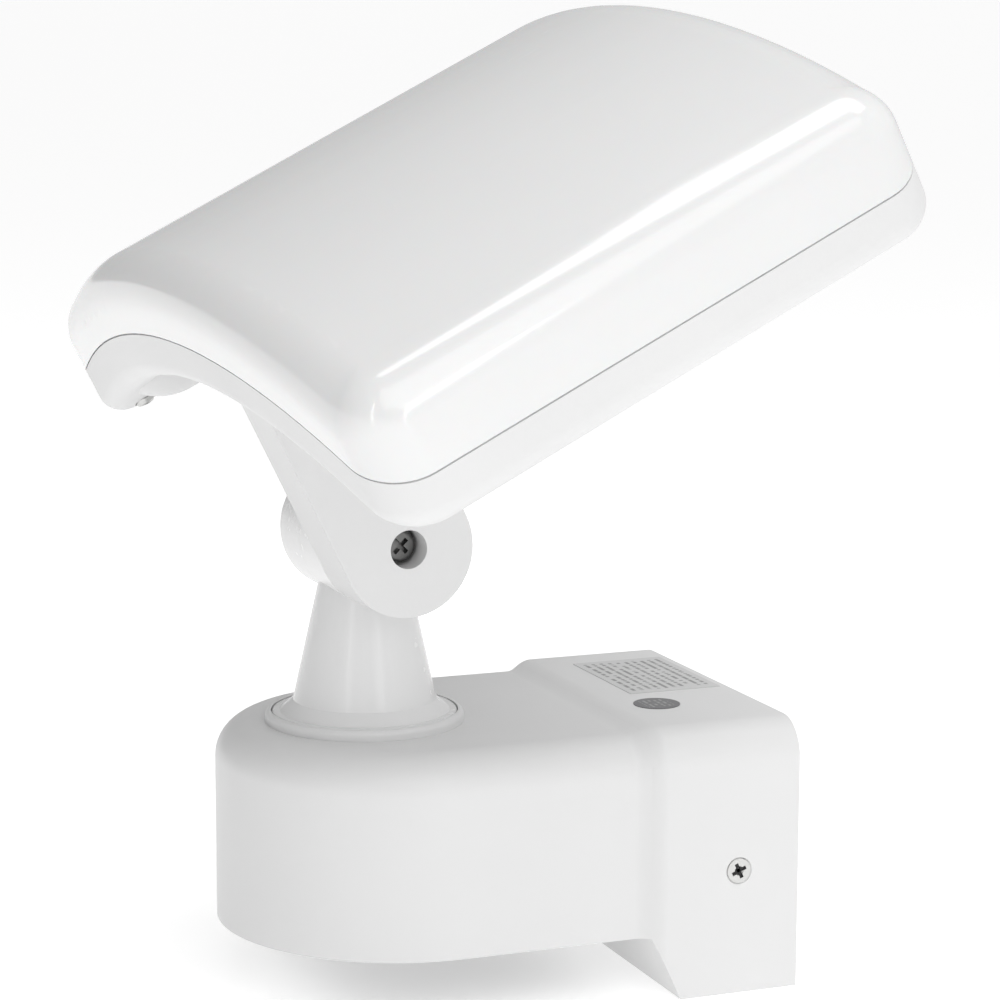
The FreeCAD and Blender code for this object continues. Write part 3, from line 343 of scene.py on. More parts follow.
# finish: material, colour setting or plain colour, shade, roughness, grain scale,
# grain depth in millimetres, mottle, and the rest
FINISHES = {
    "case": ("satin_white_moulding", "case", 1.0, 0.36, 1700.0, 0.02, 0.02,
             {"Specular IOR Level": 0.45}),
    "tray": ("textured_white_moulding", "case", 1.0, 0.5, 900.0, 0.06, 0.025,
             {"Specular IOR Level": 0.4}),
    "stem": ("semi_gloss_moulding", "case", 1.07, 0.25, 1700.0, 0.012, 0.02,
             {"Coat Weight": 0.15, "Coat Roughness": 0.2}),
    "cover": ("glossy_opal_cover", "cover", 1.0, 0.17, 240.0, 0.012, 0.012,
              {"Coat Weight": 0.5, "Coat Roughness": 0.08, "Subsurface Weight": 0.08,
               "Subsurface Scale": 0.004}),
    "zinc": ("zinc_plate", "metal", 1.0, 0.3, 900.0, 0.02, 0.12,
             {"streak": (1.0, 1.0, 0.2), **METAL}),
    # recess: near-black fill set inside the screws' cross slots, painted shade of the recess
    "recess": ("oiled_recess", (0.012, 0.012, 0.013), 1.0, 0.6, 900.0, 0.02, 0.2, {}),
    "dark_zinc": ("blackened_steel", "metal", 0.3, 0.34, 900.0, 0.02, 0.15, METAL),
    "nickel": ("nickel_plate", (0.62, 0.58, 0.51), 1.0, 0.22, 1200.0, 0.01, 0.08, METAL),
    "nylon": ("natural_nylon", (0.70, 0.69, 0.64), 1.0, 0.45, 800.0, 0.03, 0.04,
              {"Subsurface Weight": 0.1, "Subsurface Scale": 0.002}),
    "seal": ("grey_silicone", (0.31, 0.31, 0.32), 1.0, 0.6, 1100.0, 0.05, 0.08, {}),
    "holder": ("black_moulding", (0.018, 0.018, 0.02), 1.0, 0.5, 1300.0, 0.05, 0.2, {}),
    "backing": ("black_back_sheet", (0.022, 0.022, 0.026), 1.0, 0.55, 700.0, 0.03, 0.2, {}),
    "reflector": ("white_painted_sheet", (0.86, 0.86, 0.85), 1.0, 0.4, 900.0, 0.03, 0.02, {}),
    "glass": ("clear_tempered_glass", (0.93, 0.96, 0.97), 1.0, 0.05, 60.0, 0.01, 0.01,
              {"Transmission Weight": 1.0, "IOR": 1.5}),
    "silicon": ("blue_silicon", "silicon", 1.0, 0.24, 300.0, 0.01, 0.15,
                {"paint": crystal_paint, "Coat Weight": 0.3, "Coat Roughness": 0.1}),
    "silver": ("silver_paste", (0.68, 0.68, 0.69), 1.0, 0.42, 2500.0, 0.01, 0.08,
               {"Metallic": 0.8}),
    "sleeve": ("battery_sleeve", "sleeve", 1.0, 0.28, 500.0, 0.02, 0.08,
               {"paint": sleeve_paint}),
    "board": ("green_solder_mask", "board", 1.0, 0.35, 900.0, 0.02, 0.1,
              {"paint": trace_paint(150.0, (0.05, 0.28, 0.10))}),
    "strip": ("white_solder_mask", (0.80, 0.80, 0.79), 1.0, 0.38, 900.0, 0.02, 0.03,
              {"paint": trace_paint(120.0, (0.66, 0.66, 0.62))}),
    "components": ("component_moulding", (0.03, 0.03, 0.032), 1.0, 0.4, 900.0, 0.03, 0.25,
                   {"paint": part_paint}),
    "phosphor": ("lamp_phosphor", "phosphor", 1.0, 0.33, 1800.0, 0.02, 0.06,
                 {"Subsurface Weight": 0.15, "Subsurface Scale": 0.001}),
    "label": ("printed_film", "film", 1.0, 0.4, 700.0, 0.01, 0.03,
              {"paint": rows_paint("rating_label", 11, (0.13, 0.13, 0.13), 0.43)}),
    "sticker": ("dark_foil", "foil", 1.0, 0.32, 700.0, 0.01, 0.06,
                {"paint": rows_paint("round_sticker", 8, (0.38, 0.38, 0.38), 0.30)}),
}


def finish(context, key):
    """The material of a finish, with its colour read from the colour settings."""
    name, tint, shade, roughness, grain, depth, mottle, rest = FINISHES[key]
    rgb = getattr(context.scene.flood_light_colours, tint) if isinstance(tint, str) else tint
    return surface(name, shaded(rgb, shade), roughness, grain, depth * MM, mottle, **rest)


# ------------------------------------------------------------------ mesh helpers

def merged(node):
    """A bmesh copy of a CAD node with its loose triangles joined."""
    work = bmesh.new()
    work.from_mesh(frame["nodes"][node].data)
    bmesh.ops.remove_doubles(work, verts=work.verts, dist=1e-6)
    bmesh.ops.dissolve_degenerate(work, dist=1e-7, edges=work.edges)
    return work


def settle(obj, body, slot, *nodes):
    """Rides a finished piece on its body and lets it stand for its CAD nodes."""
    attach(obj, body)
    if nodes:
        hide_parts(*nodes)


def add_object(name, mesh):
    obj = bpy.data.objects.new(name, mesh)
    bpy.context.scene.collection.objects.link(obj)
    return obj


def bake_modifiers(obj):
    """Turns what the modifiers make into the object's own plain mesh."""
    bpy.context.view_layer.update()
    graph = bpy.context.evaluated_depsgraph_get()
    mesh = bpy.data.meshes.new_from_object(obj.evaluated_get(graph))
    obj.modifiers.clear()
    old = obj.data
    obj.data = mesh
    bpy.data.meshes.remove(old)
    mesh.name = obj.name
    if not mesh.polygons:
        raise RuntimeError(obj.name + " came out empty")
    return obj


def smooth_by_angle(mesh):
    """Smooth shading that breaks at the sharp edges."""
    for spare in [a.name for a in mesh.attributes if a.name == "custom_normal"]:
        mesh.attributes.remove(mesh.attributes[spare])
    mesh.shade_smooth()
    mesh.set_sharp_from_angle(angle=math.radians(SHARP_ANGLE))


def carried(node, name, material, ease=0.0):
    """The merged, smooth-shaded shape of a CAD node, with its hard edges eased."""
    work = merged(node)
    if ease:
        bmesh.ops.dissolve_limit(work, angle_limit=math.radians(0.5), verts=work.verts,
                                 edges=work.edges, delimit={"NORMAL"})
    mesh = bpy.data.meshes.new(name)
    work.to_mesh(mesh)
    work.free()
    smooth_by_angle(mesh)
    mesh.materials.clear()
    mesh.materials.append(material)
    obj = add_object(name, mesh)
    if ease:
        bevel = obj.modifiers.new("ease", "BEVEL")
        bevel.width = ease
        bevel.segments = 2
        bevel.limit_method = "ANGLE"
        bevel.angle_limit = math.radians(38)
        bevel.harden_normals = True
        bevel.use_clamp_overlap = True
        bake_modifiers(obj)
    return obj


def islands(node):
    """Vertex positions of each separate solid of a CAD node."""
    work = merged(node)
    todo, found = set(work.verts), []
    while todo:
        group, edge = [], [todo.pop()]
        while edge:
            vert = edge.pop()
            group.append(vert.co.copy())
            for link in vert.link_edges:
                other = link.other_vert(vert)
                if other in todo:
                    todo.remove(other)
                    edge.append(other)
        found.append(group)
    work.free()
    return sorted(found, key=lambda g: tuple(round(c, 5) for c in sum(g, Vector()) / len(g)))


def head_frame(context):
    """The head's own axes: X along the pin, Z out of the light's face."""
    turn = math.atan2(PIN.y, PIN.x)
    tilt = context.scene.flood_light_sizes.rest_tilt
    return (Matrix.Translation(HINGE) @ Matrix.Rotation(turn, 4, "Z")
            @ Matrix.Rotation(tilt, 4, "X"))


def extent(points, local):
    """Lowest and highest corner of points in a local frame."""
    inside = local.inverted()
    moved = [inside @ p for p in points]
    low = Vector([min(p[i] for p in moved) for i in range(3)])
    high = Vector([max(p[i] for p in moved) for i in range(3)])
    return low, high


# ------------------------------------------------------------------ geometry trees

def new_tree(name, sizes):
    """A geometry tree with a points input, named sizes and a finish, and its ends."""
    tree = bpy.data.node_groups.new(name, "GeometryNodeTree")
    face = tree.interface
    face.new_socket(name="Geometry", in_out="INPUT", socket_type="NodeSocketGeometry")
    for size_name, low in sizes:
        kind = "NodeSocketInt" if isinstance(low, int) else "NodeSocketFloat"
        face.new_socket(name=size_name, in_out="INPUT", socket_type=kind)
    face.new_socket(name="Finish", in_out="INPUT", socket_type="NodeSocketMaterial")
    face.new_socket(name="Geometry", in_out="OUTPUT", socket_type="NodeSocketGeometry")
    return tree, grow(tree, "NodeGroupInput")


def end_tree(tree, given, shape, coated=True):
    """Sets shape on every point, turned as its attribute says, and makes it real."""
    turn = grow(tree, "GeometryNodeInputNamedAttribute", {"Name": "turn"},
                data_type="FLOAT_VECTOR")
    as_turn = grow(tree, "FunctionNodeEulerToRotation", {"Euler": turn.outputs["Attribute"]})
    size = grow(tree, "GeometryNodeInputNamedAttribute", {"Name": "size"},
                data_type="FLOAT_VECTOR")
    placed = grow(tree, "GeometryNodeInstanceOnPoints",
                  {"Points": given.outputs["Geometry"], "Instance": shape,
                   "Rotation": as_turn.outputs["Rotation"], "Scale": size.outputs["Attribute"]})
    real = grow(tree, "GeometryNodeRealizeInstances", {"Geometry": placed.outputs["Instances"]})
    shade = grow(tree, "GeometryNodeSetShadeSmooth",
                 {"Geometry": real.outputs["Geometry"], "Shade Smooth": False})
    last = shade
    if coated:
        last = grow(tree, "GeometryNodeSetMaterial",
                    {"Geometry": shade.outputs["Geometry"], "Material": given.outputs["Finish"]})
    out = grow(tree, "NodeGroupOutput")
    tree.links.new(last.outputs["Geometry"], out.inputs["Geometry"])
    return tree


def lifted(tree, geometry, z):
    """Moves geometry up by a size."""
    offset = grow(tree, "ShaderNodeCombineXYZ", {"Z": z})
    moved = grow(tree, "GeometryNodeTransform",
                 {"Geometry": geometry, "Translation": offset.outputs[0]})
    return moved.outputs["Geometry"]


def joined(tree, *shapes):
    node = tree.nodes.new("GeometryNodeJoinGeometry")
    for shape in reversed(shapes):
        tree.links.new(shape, node.inputs[0])
    return node.outputs[0]


def scaled(tree, value, factor):
    return sums(tree, "MULTIPLY", value, factor)


def block(tree, x, y, z):
    size = grow(tree, "ShaderNodeCombineXYZ", {"X": x, "Y": y, "Z": z})
    return grow(tree, "GeometryNodeMeshCube", {"Size": size.outputs[0]}).outputs[0]


def solid_cone(tree, steps, bottom, top, depth):
    node = grow(tree, "GeometryNodeMeshCone", {"Vertices": steps, "Radius Bottom": bottom,
                                               "Radius Top": top, "Depth": depth})
    return node.outputs["Mesh"]


def screw_tree(name):
    """Cross-head screw with its face at z = 0, a dished or pan head, a ridged shank and painted
    shade in its cross.
    """
    tree, given = new_tree(name, [
        ("Head Radius", 0.0), ("Under Radius", 0.0), ("Head Height", 0.0),
        ("Shank Radius", 0.0), ("Length", 0.0), ("Pitch", 0.0), ("Steps", 0)])
    # the recess input takes the finish of the painted shade inside the cross
    tree.interface.new_socket(name="Recess", in_out="INPUT", socket_type="NodeSocketMaterial")
    out = given.outputs
    steps, radius, height = out["Steps"], out["Head Radius"], out["Head Height"]
    brim = scaled(tree, height, HEAD_BRIM)
    skirt_tall = scaled(tree, height, HEAD_SKIRT)
    rim = solid_cone(tree, steps, radius, scaled(tree, radius, BRIM_TAPER), brim)
    rim = lifted(tree, rim, scaled(tree, brim, -1.0))
    skirt = lifted(tree, solid_cone(tree, steps, out["Under Radius"], radius, skirt_tall),
                   scaled(tree, height, -1.0))
    head = grow(tree, "GeometryNodeMeshBoolean", {}, operation="UNION", solver="EXACT")
    for part in (rim, skirt):
        tree.links.new(part, head.inputs["Mesh 2"])
    slots = []
    for wide, long in ((CROSS_SHORT, CROSS_LONG), (CROSS_LONG, CROSS_SHORT)):
        slots.append(block(tree, scaled(tree, radius, wide), scaled(tree, radius, long),
                           scaled(tree, height, CROSS_DEEP)))
    pit = solid_cone(tree, PIT_SIDES, 0.0, scaled(tree, radius, PIT_WIDE),
                     scaled(tree, height, PIT_DEEP))
    pit = lifted(tree, pit, scaled(tree, height, PIT_DROP))
    carve = grow(tree, "GeometryNodeMeshBoolean", {"Mesh 1": head.outputs["Mesh"]},
                 operation="DIFFERENCE", solver="EXACT")
    for part in (*slots, pit):
        tree.links.new(part, carve.inputs["Mesh 2"])
    shank_long = sums(tree, "SUBTRACT", out["Length"], height)
    tip = scaled(tree, out["Pitch"], TIP_LONG)
    body_long = sums(tree, "SUBTRACT", shank_long, tip)
    core = scaled(tree, out["Shank Radius"], CORE)
    shank = lifted(tree, solid_cone(tree, steps, core, core, body_long),
                   sums(tree, "SUBTRACT", tip, out["Length"]))
    point = lifted(tree, solid_cone(tree, steps, scaled(tree, core, TIP_TAPER), core, tip),
                   scaled(tree, out["Length"], -1.0))
    half = scaled(tree, out["Pitch"], RIDGE_HALF)
    upper = solid_cone(tree, steps, out["Shank Radius"], core, half)
    lower = lifted(tree, solid_cone(tree, steps, core, out["Shank Radius"], half),
                   scaled(tree, half, -1.0))
    count = grow(tree, "ShaderNodeMath",
                 {0: sums(tree, "DIVIDE", body_long, out["Pitch"])}, operation="FLOOR")
    start = grow(tree, "ShaderNodeCombineXYZ",
                 {"Z": sums(tree, "SUBTRACT", sums(tree, "ADD", tip, half), out["Length"])})
    step = grow(tree, "ShaderNodeCombineXYZ", {"Z": out["Pitch"]})
    line = grow(tree, "GeometryNodeMeshLine",
                {"Count": count.outputs[0], "Start Location": start.outputs[0],
                 "Offset": step.outputs[0]})
    ridges = grow(tree, "GeometryNodeInstanceOnPoints",
                  {"Points": line.outputs["Mesh"], "Instance": joined(tree, upper, lower)})
    # near-black blocks inside the cross slots, in the recess finish: painted shade
    shade_fills = []
    for wide, long in ((SHADE_FILL_SHORT, SHADE_FILL_LONG), (SHADE_FILL_LONG, SHADE_FILL_SHORT)):
        bar = block(tree, scaled(tree, radius, wide), scaled(tree, radius, long),
                    scaled(tree, height, SHADE_FILL_DEEP))
        shade_fills.append(lifted(tree, bar, scaled(tree, height, SHADE_FILL_DROP)))
    black = grow(tree, "GeometryNodeSetMaterial", {"Geometry": joined(tree, *shade_fills),
                                                   "Material": out["Recess"]})
    metal = grow(tree, "GeometryNodeSetMaterial", {
        "Geometry": joined(tree, carve.outputs["Mesh"], shank, point,
                           ridges.outputs["Instances"]),
        "Material": out["Finish"]})
    whole = joined(tree, metal.outputs["Geometry"], black.outputs["Geometry"])
    return end_tree(tree, given, whole, coated=False)


def chip_tree(name):
    """Lamp chip: a square package with two feet and a phosphor dome."""
    tree, given = new_tree(name, [("Side", 0.0), ("Height", 0.0), ("Rise", 0.0)])
    side, height = given.outputs["Side"], given.outputs["Height"]
    package = lifted(tree, block(tree, side, side, height), scaled(tree, height, -0.5))
    radius = scaled(tree, side, DOME)
    ball = grow(tree, "GeometryNodeMeshUVSphere", {"Segments": 20, "Rings": 10,
                                                   "Radius": radius})
    flat = grow(tree, "ShaderNodeCombineXYZ", {
        "X": 1.0, "Y": 1.0, "Z": sums(tree, "DIVIDE", given.outputs["Rise"], radius)})
    dome = grow(tree, "GeometryNodeTransform", {"Geometry": ball.outputs[0],
                                                "Scale": flat.outputs[0]}).outputs[0]
    legs = []
    for sign in (-1, 1):
        foot = block(tree, scaled(tree, side, LEG_LONG), scaled(tree, side, LEG_WIDE),
                     scaled(tree, height, LEG_TALL))
        place = grow(tree, "ShaderNodeCombineXYZ", {
            "Y": scaled(tree, side, LEG_OUT * sign), "Z": scaled(tree, height, LEG_DROP)})
        legs.append(grow(tree, "GeometryNodeTransform", {
            "Geometry": foot, "Translation": place.outputs[0]}).outputs[0])
    return end_tree(tree, given, joined(tree, package, dome, *legs))


def bar_tree(name):
    """A thin flat bar of unit size, stretched by each point's own size."""
    tree, given = new_tree(name, [])
    cube = grow(tree, "GeometryNodeMeshCube", {"Size": (1.0, 1.0, 1.0)})
    return end_tree(tree, given, cube.outputs[0])


def grown(name, tree_maker, places, sizes, material):
    """Makes one plain mesh from a tree on places (point, turn, size)."""
    key = tree_maker.__name__
    tree = bpy.data.node_groups.get(key) or tree_maker(key)
    mesh = bpy.data.meshes.new(name)
    mesh.from_pydata([p for p, _, _ in places], [], [])
    for label, column in (("turn", 1), ("size", 2)):
        layer = mesh.attributes.new(label, "FLOAT_VECTOR", "POINT")
        layer.data.foreach_set("vector", [c for place in places for c in place[column]])
    obj = add_object(name, mesh)
    modifier = obj.modifiers.new("shape", "NODES")
    modifier.node_group = tree
    sockets = {item.name: item.identifier for item in tree.interface.items_tree
               if item.in_out == "INPUT"}
    for size_name, value in {**sizes, "Finish": material}.items():
        modifier[sockets[size_name]] = value
    return bake_modifiers(obj)


def screw_values(context, radius, under, height, shank, long):
    """Inputs of the screw tree."""
    sizes = context.scene.flood_light_sizes
    # the recess finish is the painted shade inside the cross
    return {"Head Radius": radius, "Under Radius": under, "Head Height": height,
            "Shank Radius": shank, "Length": long, "Pitch": sizes.thread_pitch,
            "Recess": finish(context, "recess"), "Steps": sizes.round_steps}


def screws_for(context, node, name, local, out_axis, material, countersunk):
    """Detailed screws in the places and sizes of a CAD node's screws."""
    world_axis = (local.to_3x3() @ Vector(out_axis)).normalized()
    places, sizes = [], None
    for number, points in enumerate(islands(node)):
        low, high = extent(points, local)
        lead = max(range(3), key=lambda i: abs(out_axis[i]))
        across = [i for i in range(3) if i != lead]
        sign = 1 if out_axis[lead] > 0 else -1
        face = (low + high) / 2
        face[lead] = high[lead] if sign > 0 else low[lead]
        radius = min(high[i] - low[i] for i in across) / 2
        spin = math.radians(SCREW_TURN * number + FIRST_TURN)
        turn = (world_axis.to_track_quat("Z", "Y").to_matrix()
                @ Matrix.Rotation(spin, 3, "Z")).to_euler()
        places.append((local @ face, turn, (1, 1, 1)))
        sizes = (radius, high[lead] - low[lead])
    radius, long = sizes
    under, height = (SHANK, SUNK_HEAD) if countersunk else (PAN_UNDER, PAN_HEAD)
    values = screw_values(context, radius, radius * under, radius * height, radius * SHANK, long)
    return grown(name, screw_tree, places, values, material)


# ------------------------------------------------------------------ step of the base

class StepShape:
    """Outlines of the wall box and of the body in front of it, across the wall direction."""

    def __init__(self, box_half, box_top, body_half, body_top, corner):
        self.half, self.top = body_half - corner, body_top - corner
        self.grow_half, self.grow_top = box_half - body_half, box_top - body_top
        self.corner = corner

    def outside(self, x, z, t):
        """Distance of a point outside the outline; t is 0 for the body and 1 for the box."""
        dx = abs(x) - (self.half + t * self.grow_half)
        dz = z - (self.top + t * self.grow_top)
        if dx > 0 and dz > 0:
            return math.hypot(dx, dz) - self.corner
        return max(dx, dz) - self.corner

    def moved(self, x, z, t, goal):
        """The point of outline goal that lies where x, z lies on outline t."""
        dx = abs(x) - (self.half + t * self.grow_half)
        dz = z - (self.top + t * self.grow_top)
        side, up = max(dx, 0.0), max(dz, 0.0)
        reach = math.hypot(side, up) or 1.0
        half = self.half + goal * self.grow_half
        top = self.top + goal * self.grow_top
        new_x = half + self.corner * side / reach if dx > 0 else abs(x)
        new_z = top + self.corner * up / reach if dz > 0 else z
        return math.copysign(new_x, x), new_z


def soften_step(obj, shape, step_y, wide):
    """Turns the step between the box and the body into a soft S-shaped ramp."""
    work = bmesh.new()
    work.from_mesh(obj.data)
    start = step_y - wide / 2
    for i in range(RAMP_CUTS + 1):
        level = Vector((0, start + wide * i / RAMP_CUTS, 0))
        bmesh.ops.bisect_plane(work, geom=work.verts[:] + work.edges[:] + work.faces[:],
                               plane_co=level, plane_no=(0, 1, 0), dist=1e-7)
    for vert in work.verts:
        x, y, z = vert.co
        if not start < y < start + wide:
            continue
        along = (y - start) / wide
        goal = along * along * (3 - 2 * along)
        on_box = y > step_y - SOFT_EDGE and shape.outside(x, z, 1.0) > -BOX_DEPTH
        on_body = y < step_y + SKIN_DEPTH and abs(shape.outside(x, z, 0.0)) < SKIN_SLACK
        on_step = abs(y - step_y) < SOFT_EDGE and shape.outside(x, z, 0.0) > -SKIN_SLACK
        if on_body or on_step or on_box:
            vert.co.x, vert.co.z = shape.moved(x, z, 0.0 if on_body else 1.0, goal)
    bmesh.ops.remove_doubles(work, verts=work.verts, dist=WELD)
    bmesh.ops.dissolve_degenerate(work, dist=1e-6, edges=work.edges)
    work.to_mesh(obj.data)
    work.free()
    smooth_by_angle(obj.data)


# ------------------------------------------------------------------ operators

class PieceOperator:
    """Carries over CAD nodes; a row is node, piece, body, slot, finish and eased width."""
    bl_options = {"REGISTER", "UNDO"}
    rows = ()

    def execute(self, context):
        sizes = context.scene.flood_light_sizes
        for node, name, body, slot, key, ease in self.rows:
            width = getattr(sizes, ease) if isinstance(ease, str) else ease
            piece = carried(node, name, finish(context, key), width)
            self.reshape(piece, sizes)
            settle(piece, body, slot, node)
        self.add_details(context, sizes)
        return {"FINISHED"}

    def reshape(self, piece, sizes):
        """Changes a carried piece before it is settled."""

    def add_details(self, context, sizes):
        """Makes the pieces that have no row."""


class FLOODLIGHT_OT_case(PieceOperator, bpy.types.Operator):
    """Make the moulded base case"""
    bl_idname = "flood_light.case"
    bl_label = "Base Case"
    rows = (("base_housing", "base_case", "base", "case", "case", 0.2 * MM),)

    def reshape(self, piece, sizes):
        low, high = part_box("base_housing")
        shape = StepShape(high.x, -low.z, sizes.body_half, sizes.body_top, sizes.case_corner)
        soften_step(piece, shape, -sizes.box_deep, sizes.ramp_wide)


class FLOODLIGHT_OT_underside(PieceOperator, bpy.types.Operator):
    """Make the underside plate and its seal"""
    bl_idname = "flood_light.underside"
    bl_label = "Underside Plate"
    rows = (("bottom_cover", "underside_plate", "base", "case", "case", "edge_ease"),
            ("cover_seal", "underside_seal", "base", "seal", "seal", 0.0))


class FLOODLIGHT_OT_solar_panel(PieceOperator, bpy.types.Operator):
    """Make the solar panel: window, cells with silver lines, and back sheet"""
    bl_idname = "flood_light.solar_panel"
    bl_label = "Solar Panel"
    rows = (("solar_glass", "solar_window", "base", "glass", "glass", "metal_ease"),
            ("solar_cells", "silicon_cells", "base", "silicon", "silicon", 0.0),
            ("panel_backing", "panel_back_sheet", "base", "backing", "backing", 0.0))

    def add_details(self, context, sizes):
        thick, margin = 0.03 * MM, 0.6 * MM
        places = []
        for points in islands("solar_cells"):
            low, high = extent(points, Matrix())
            level = low.z - thick / 2
            middle = (low + high) / 2
            wide, deep = high.x - low.x - 2 * margin, high.y - low.y - 2 * margin
            across = 0 if wide < deep else 1
            short, long = min(wide, deep), max(wide, deep)
            count = int(long / sizes.finger_pitch)
            for i in range(count + 1):
                shift = -long / 2 + i * long / count
                spot = Vector((middle.x, middle.y, level))
                spot[1 - across] += shift
                size = [0.0, 0.0, thick]
                size[across], size[1 - across] = short, sizes.finger_width
                places.append((spot, (0, 0, 0), size))
            size = [0.0, 0.0, thick * 1.2]
            size[across], size[1 - across] = sizes.bar_width, long
            places.append((Vector((middle.x, middle.y, level)), (0, 0, 0), size))
        lines = grown("cell_silver_lines", bar_tree, places, {}, finish(context, "silver"))
        settle(lines, "base", "silicon")


class FLOODLIGHT_OT_screws(PieceOperator, bpy.types.Operator):
    """Make every small screw of the base and the head"""
    bl_idname = "flood_light.screws"
    bl_label = "Screws"

    def add_details(self, context, sizes):
        flat = Matrix()
        head = head_frame(context)
        zinc = finish(context, "zinc")
        screws = (
            ("bottom_cover_screws", "underside_screws", "base", flat, DOWN, True),
            ("board_screws", "controller_screws", "base", flat, DOWN, False),
            ("reflector_screws", "reflector_plate_screws", "head", head, UP, False),
            ("diffuser_screws", "cover_screws", "head", head, DOWN, False),
        )
        for node, name, body, local, axis, sunk in screws:
            settle(screws_for(context, node, name, local, axis, zinc, sunk),
                   body, "screw", node)
        self.side_screws(context, zinc)

    def side_screws(self, context, material):
        places, shape = [], None
        for points in islands("side_screws"):
            low, high = extent(points, Matrix())
            side = 1 if (low.x + high.x) > 0 else -1
            radius = (high.z - low.z) / 2
            face = Vector((high.x if side > 0 else low.x, (low.y + high.y) / 2,
                           (low.z + high.z) / 2))
            turn = ((ALONG_X * side).to_track_quat("Z", "Y").to_matrix()
                    @ Matrix.Rotation(math.radians(SIDE_TURN), 3, "Z")).to_euler()
            places.append((face, turn, (1, 1, 1)))
            shape = (radius, high.x - low.x)
        radius, long = shape
        shank = radius * SIDE_SHANK
        values = screw_values(context, radius, shank, radius * SIDE_HEAD, shank, long)
        settle(grown("side_case_screws", screw_tree, places, values, material),
               "base", "screw", "side_screws")


class FLOODLIGHT_OT_battery(PieceOperator, bpy.types.Operator):
    """Make the battery cells, their holder and its contacts"""
    bl_idname = "flood_light.battery"
    bl_label = "Battery"
    rows = (("battery_cells", "battery_pair", "base", "battery", "sleeve", 0.5 * MM),
            ("battery_holder", "battery_tray", "base", "dark_plastic", "holder", "metal_ease"),
            ("battery_contacts", "contact_plates", "base", "spring_metal", "nickel", 0.1 * MM))


class FLOODLIGHT_OT_controller(PieceOperator, bpy.types.Operator):
    """Make the controller board and its parts"""
    bl_idname = "flood_light.controller"
    bl_label = "Controller"
    rows = (("controller_board", "controller_card", "base", "circuit", "board", 0.1 * MM),
            ("controller_components", "controller_parts", "base", "components", "components",
             0.25 * MM))


class FLOODLIGHT_OT_bracket(PieceOperator, bpy.types.Operator):
    """Make the steel wall bracket"""
    bl_idname = "flood_light.bracket"
    bl_label = "Wall Bracket"
    rows = (("wall_plate", "wall_bracket", "base", "steel", "zinc", "metal_ease"),)


class FLOODLIGHT_OT_labels(PieceOperator, bpy.types.Operator):
    """Make the plain printed label and the round sticker"""
    bl_idname = "flood_light.labels"
    bl_label = "Labels"
    rows = (("rating_label", "printed_label", "base", "label", "label", 0.05 * MM),
            ("round_sticker", "foil_sticker", "base", "sticker", "sticker", 0.05 * MM))


class FLOODLIGHT_OT_neck(PieceOperator, bpy.types.Operator):
    """Make the swivelling stem, the pad it turns on, and the washer and nut below"""
    bl_idname = "flood_light.neck"
    bl_label = "Neck"
    rows = (("neck_stem", "neck_post", "neck", "stem", "stem", "edge_ease"),
            ("neck_pad", "swivel_pad", "base", "nylon", "nylon", 0.1 * MM),
            ("neck_washer", "swivel_washer", "neck", "steel", "zinc", 0.1 * MM),
            ("neck_nut", "swivel_nut", "neck", "nylon", "nylon", 0.3 * MM))


class FLOODLIGHT_OT_hinge(PieceOperator, bpy.types.Operator):
    """Make the far knuckle and the pivot screw, washer and nut"""
    bl_idname = "flood_light.hinge"
    bl_label = "Hinge"
    rows = (("hinge_cap", "hinge_end_cap", "neck", "stem", "stem", "edge_ease"),
            ("hinge_screw", "pivot_screw", "neck", "screw", "dark_zinc", 0.0),
            ("hinge_washer", "pivot_washer", "neck", "screw", "zinc", 0.1 * MM),
            ("hinge_nut", "pivot_nut", "neck", "screw", "zinc", 0.2 * MM))


class FLOODLIGHT_OT_tray(PieceOperator, bpy.types.Operator):
    """Make the arched tray of the head with its arm"""
    bl_idname = "flood_light.tray"
    bl_label = "Head Tray"
    rows = (("head_housing", "head_tray", "head", "tray", "tray", "edge_ease"),)


class FLOODLIGHT_OT_cover(PieceOperator, bpy.types.Operator):
    """Make the glossy arched cover and its seal"""
    bl_idname = "flood_light.cover"
    bl_label = "Cover"
    rows = (("diffuser", "opal_cover", "head", "diffuser", "cover", 0.0),
            ("diffuser_seal", "cover_seal_ring", "head", "seal", "seal", 0.0))


class FLOODLIGHT_OT_lamps(PieceOperator, bpy.types.Operator):
    """Make the reflector, the lamp strips and their chips"""
    bl_idname = "flood_light.lamps"
    bl_label = "Lamps"
    rows = (("reflector_plate", "reflector_sheet", "head", "reflector", "reflector", 0.0),
            ("led_strips", "lamp_strips", "head", "circuit_white", "strip", 0.1 * MM))

    def add_details(self, context, sizes):
        head_turn = head_frame(context).to_3x3()
        along = head_turn @ Vector((0, 1, 0))
        places, shape = [], None
        for points in islands("leds"):
            centre = sum(points, Vector()) / len(points)
            spine = [p - centre for p in points]
            tall_axis = self.short_axis(spine, head_turn)
            side = max(p.dot(along) for p in spine)
            tall = max(p.dot(tall_axis) for p in spine)
            cross = along.cross(tall_axis).normalized()
            turn = Matrix((cross, along, tall_axis)).transposed().to_euler()
            top = centre + tall_axis * (tall - sizes.lens_rise)
            places.append((top, turn, (1, 1, 1)))
            shape = (2 * side, 2 * tall - sizes.lens_rise)
        chips = grown("lamp_chips", chip_tree, places,
                      {"Side": shape[0], "Height": shape[1], "Rise": sizes.lens_rise},
                      finish(context, "phosphor"))
        settle(chips, "head", "led", "leds")

    def short_axis(self, spine, head_turn):
        """Out-facing axis of a flat chip, found among small turns round the strip."""
        best = None
        for step in range(-60, 61):
            turn = math.radians(step * 0.75)
            axis = head_turn @ Vector((math.sin(turn), 0, math.cos(turn)))
            reach = max(p.dot(axis) for p in spine)
            if best is None or reach < best[0]:
                best = (reach, axis)
        return best[1]


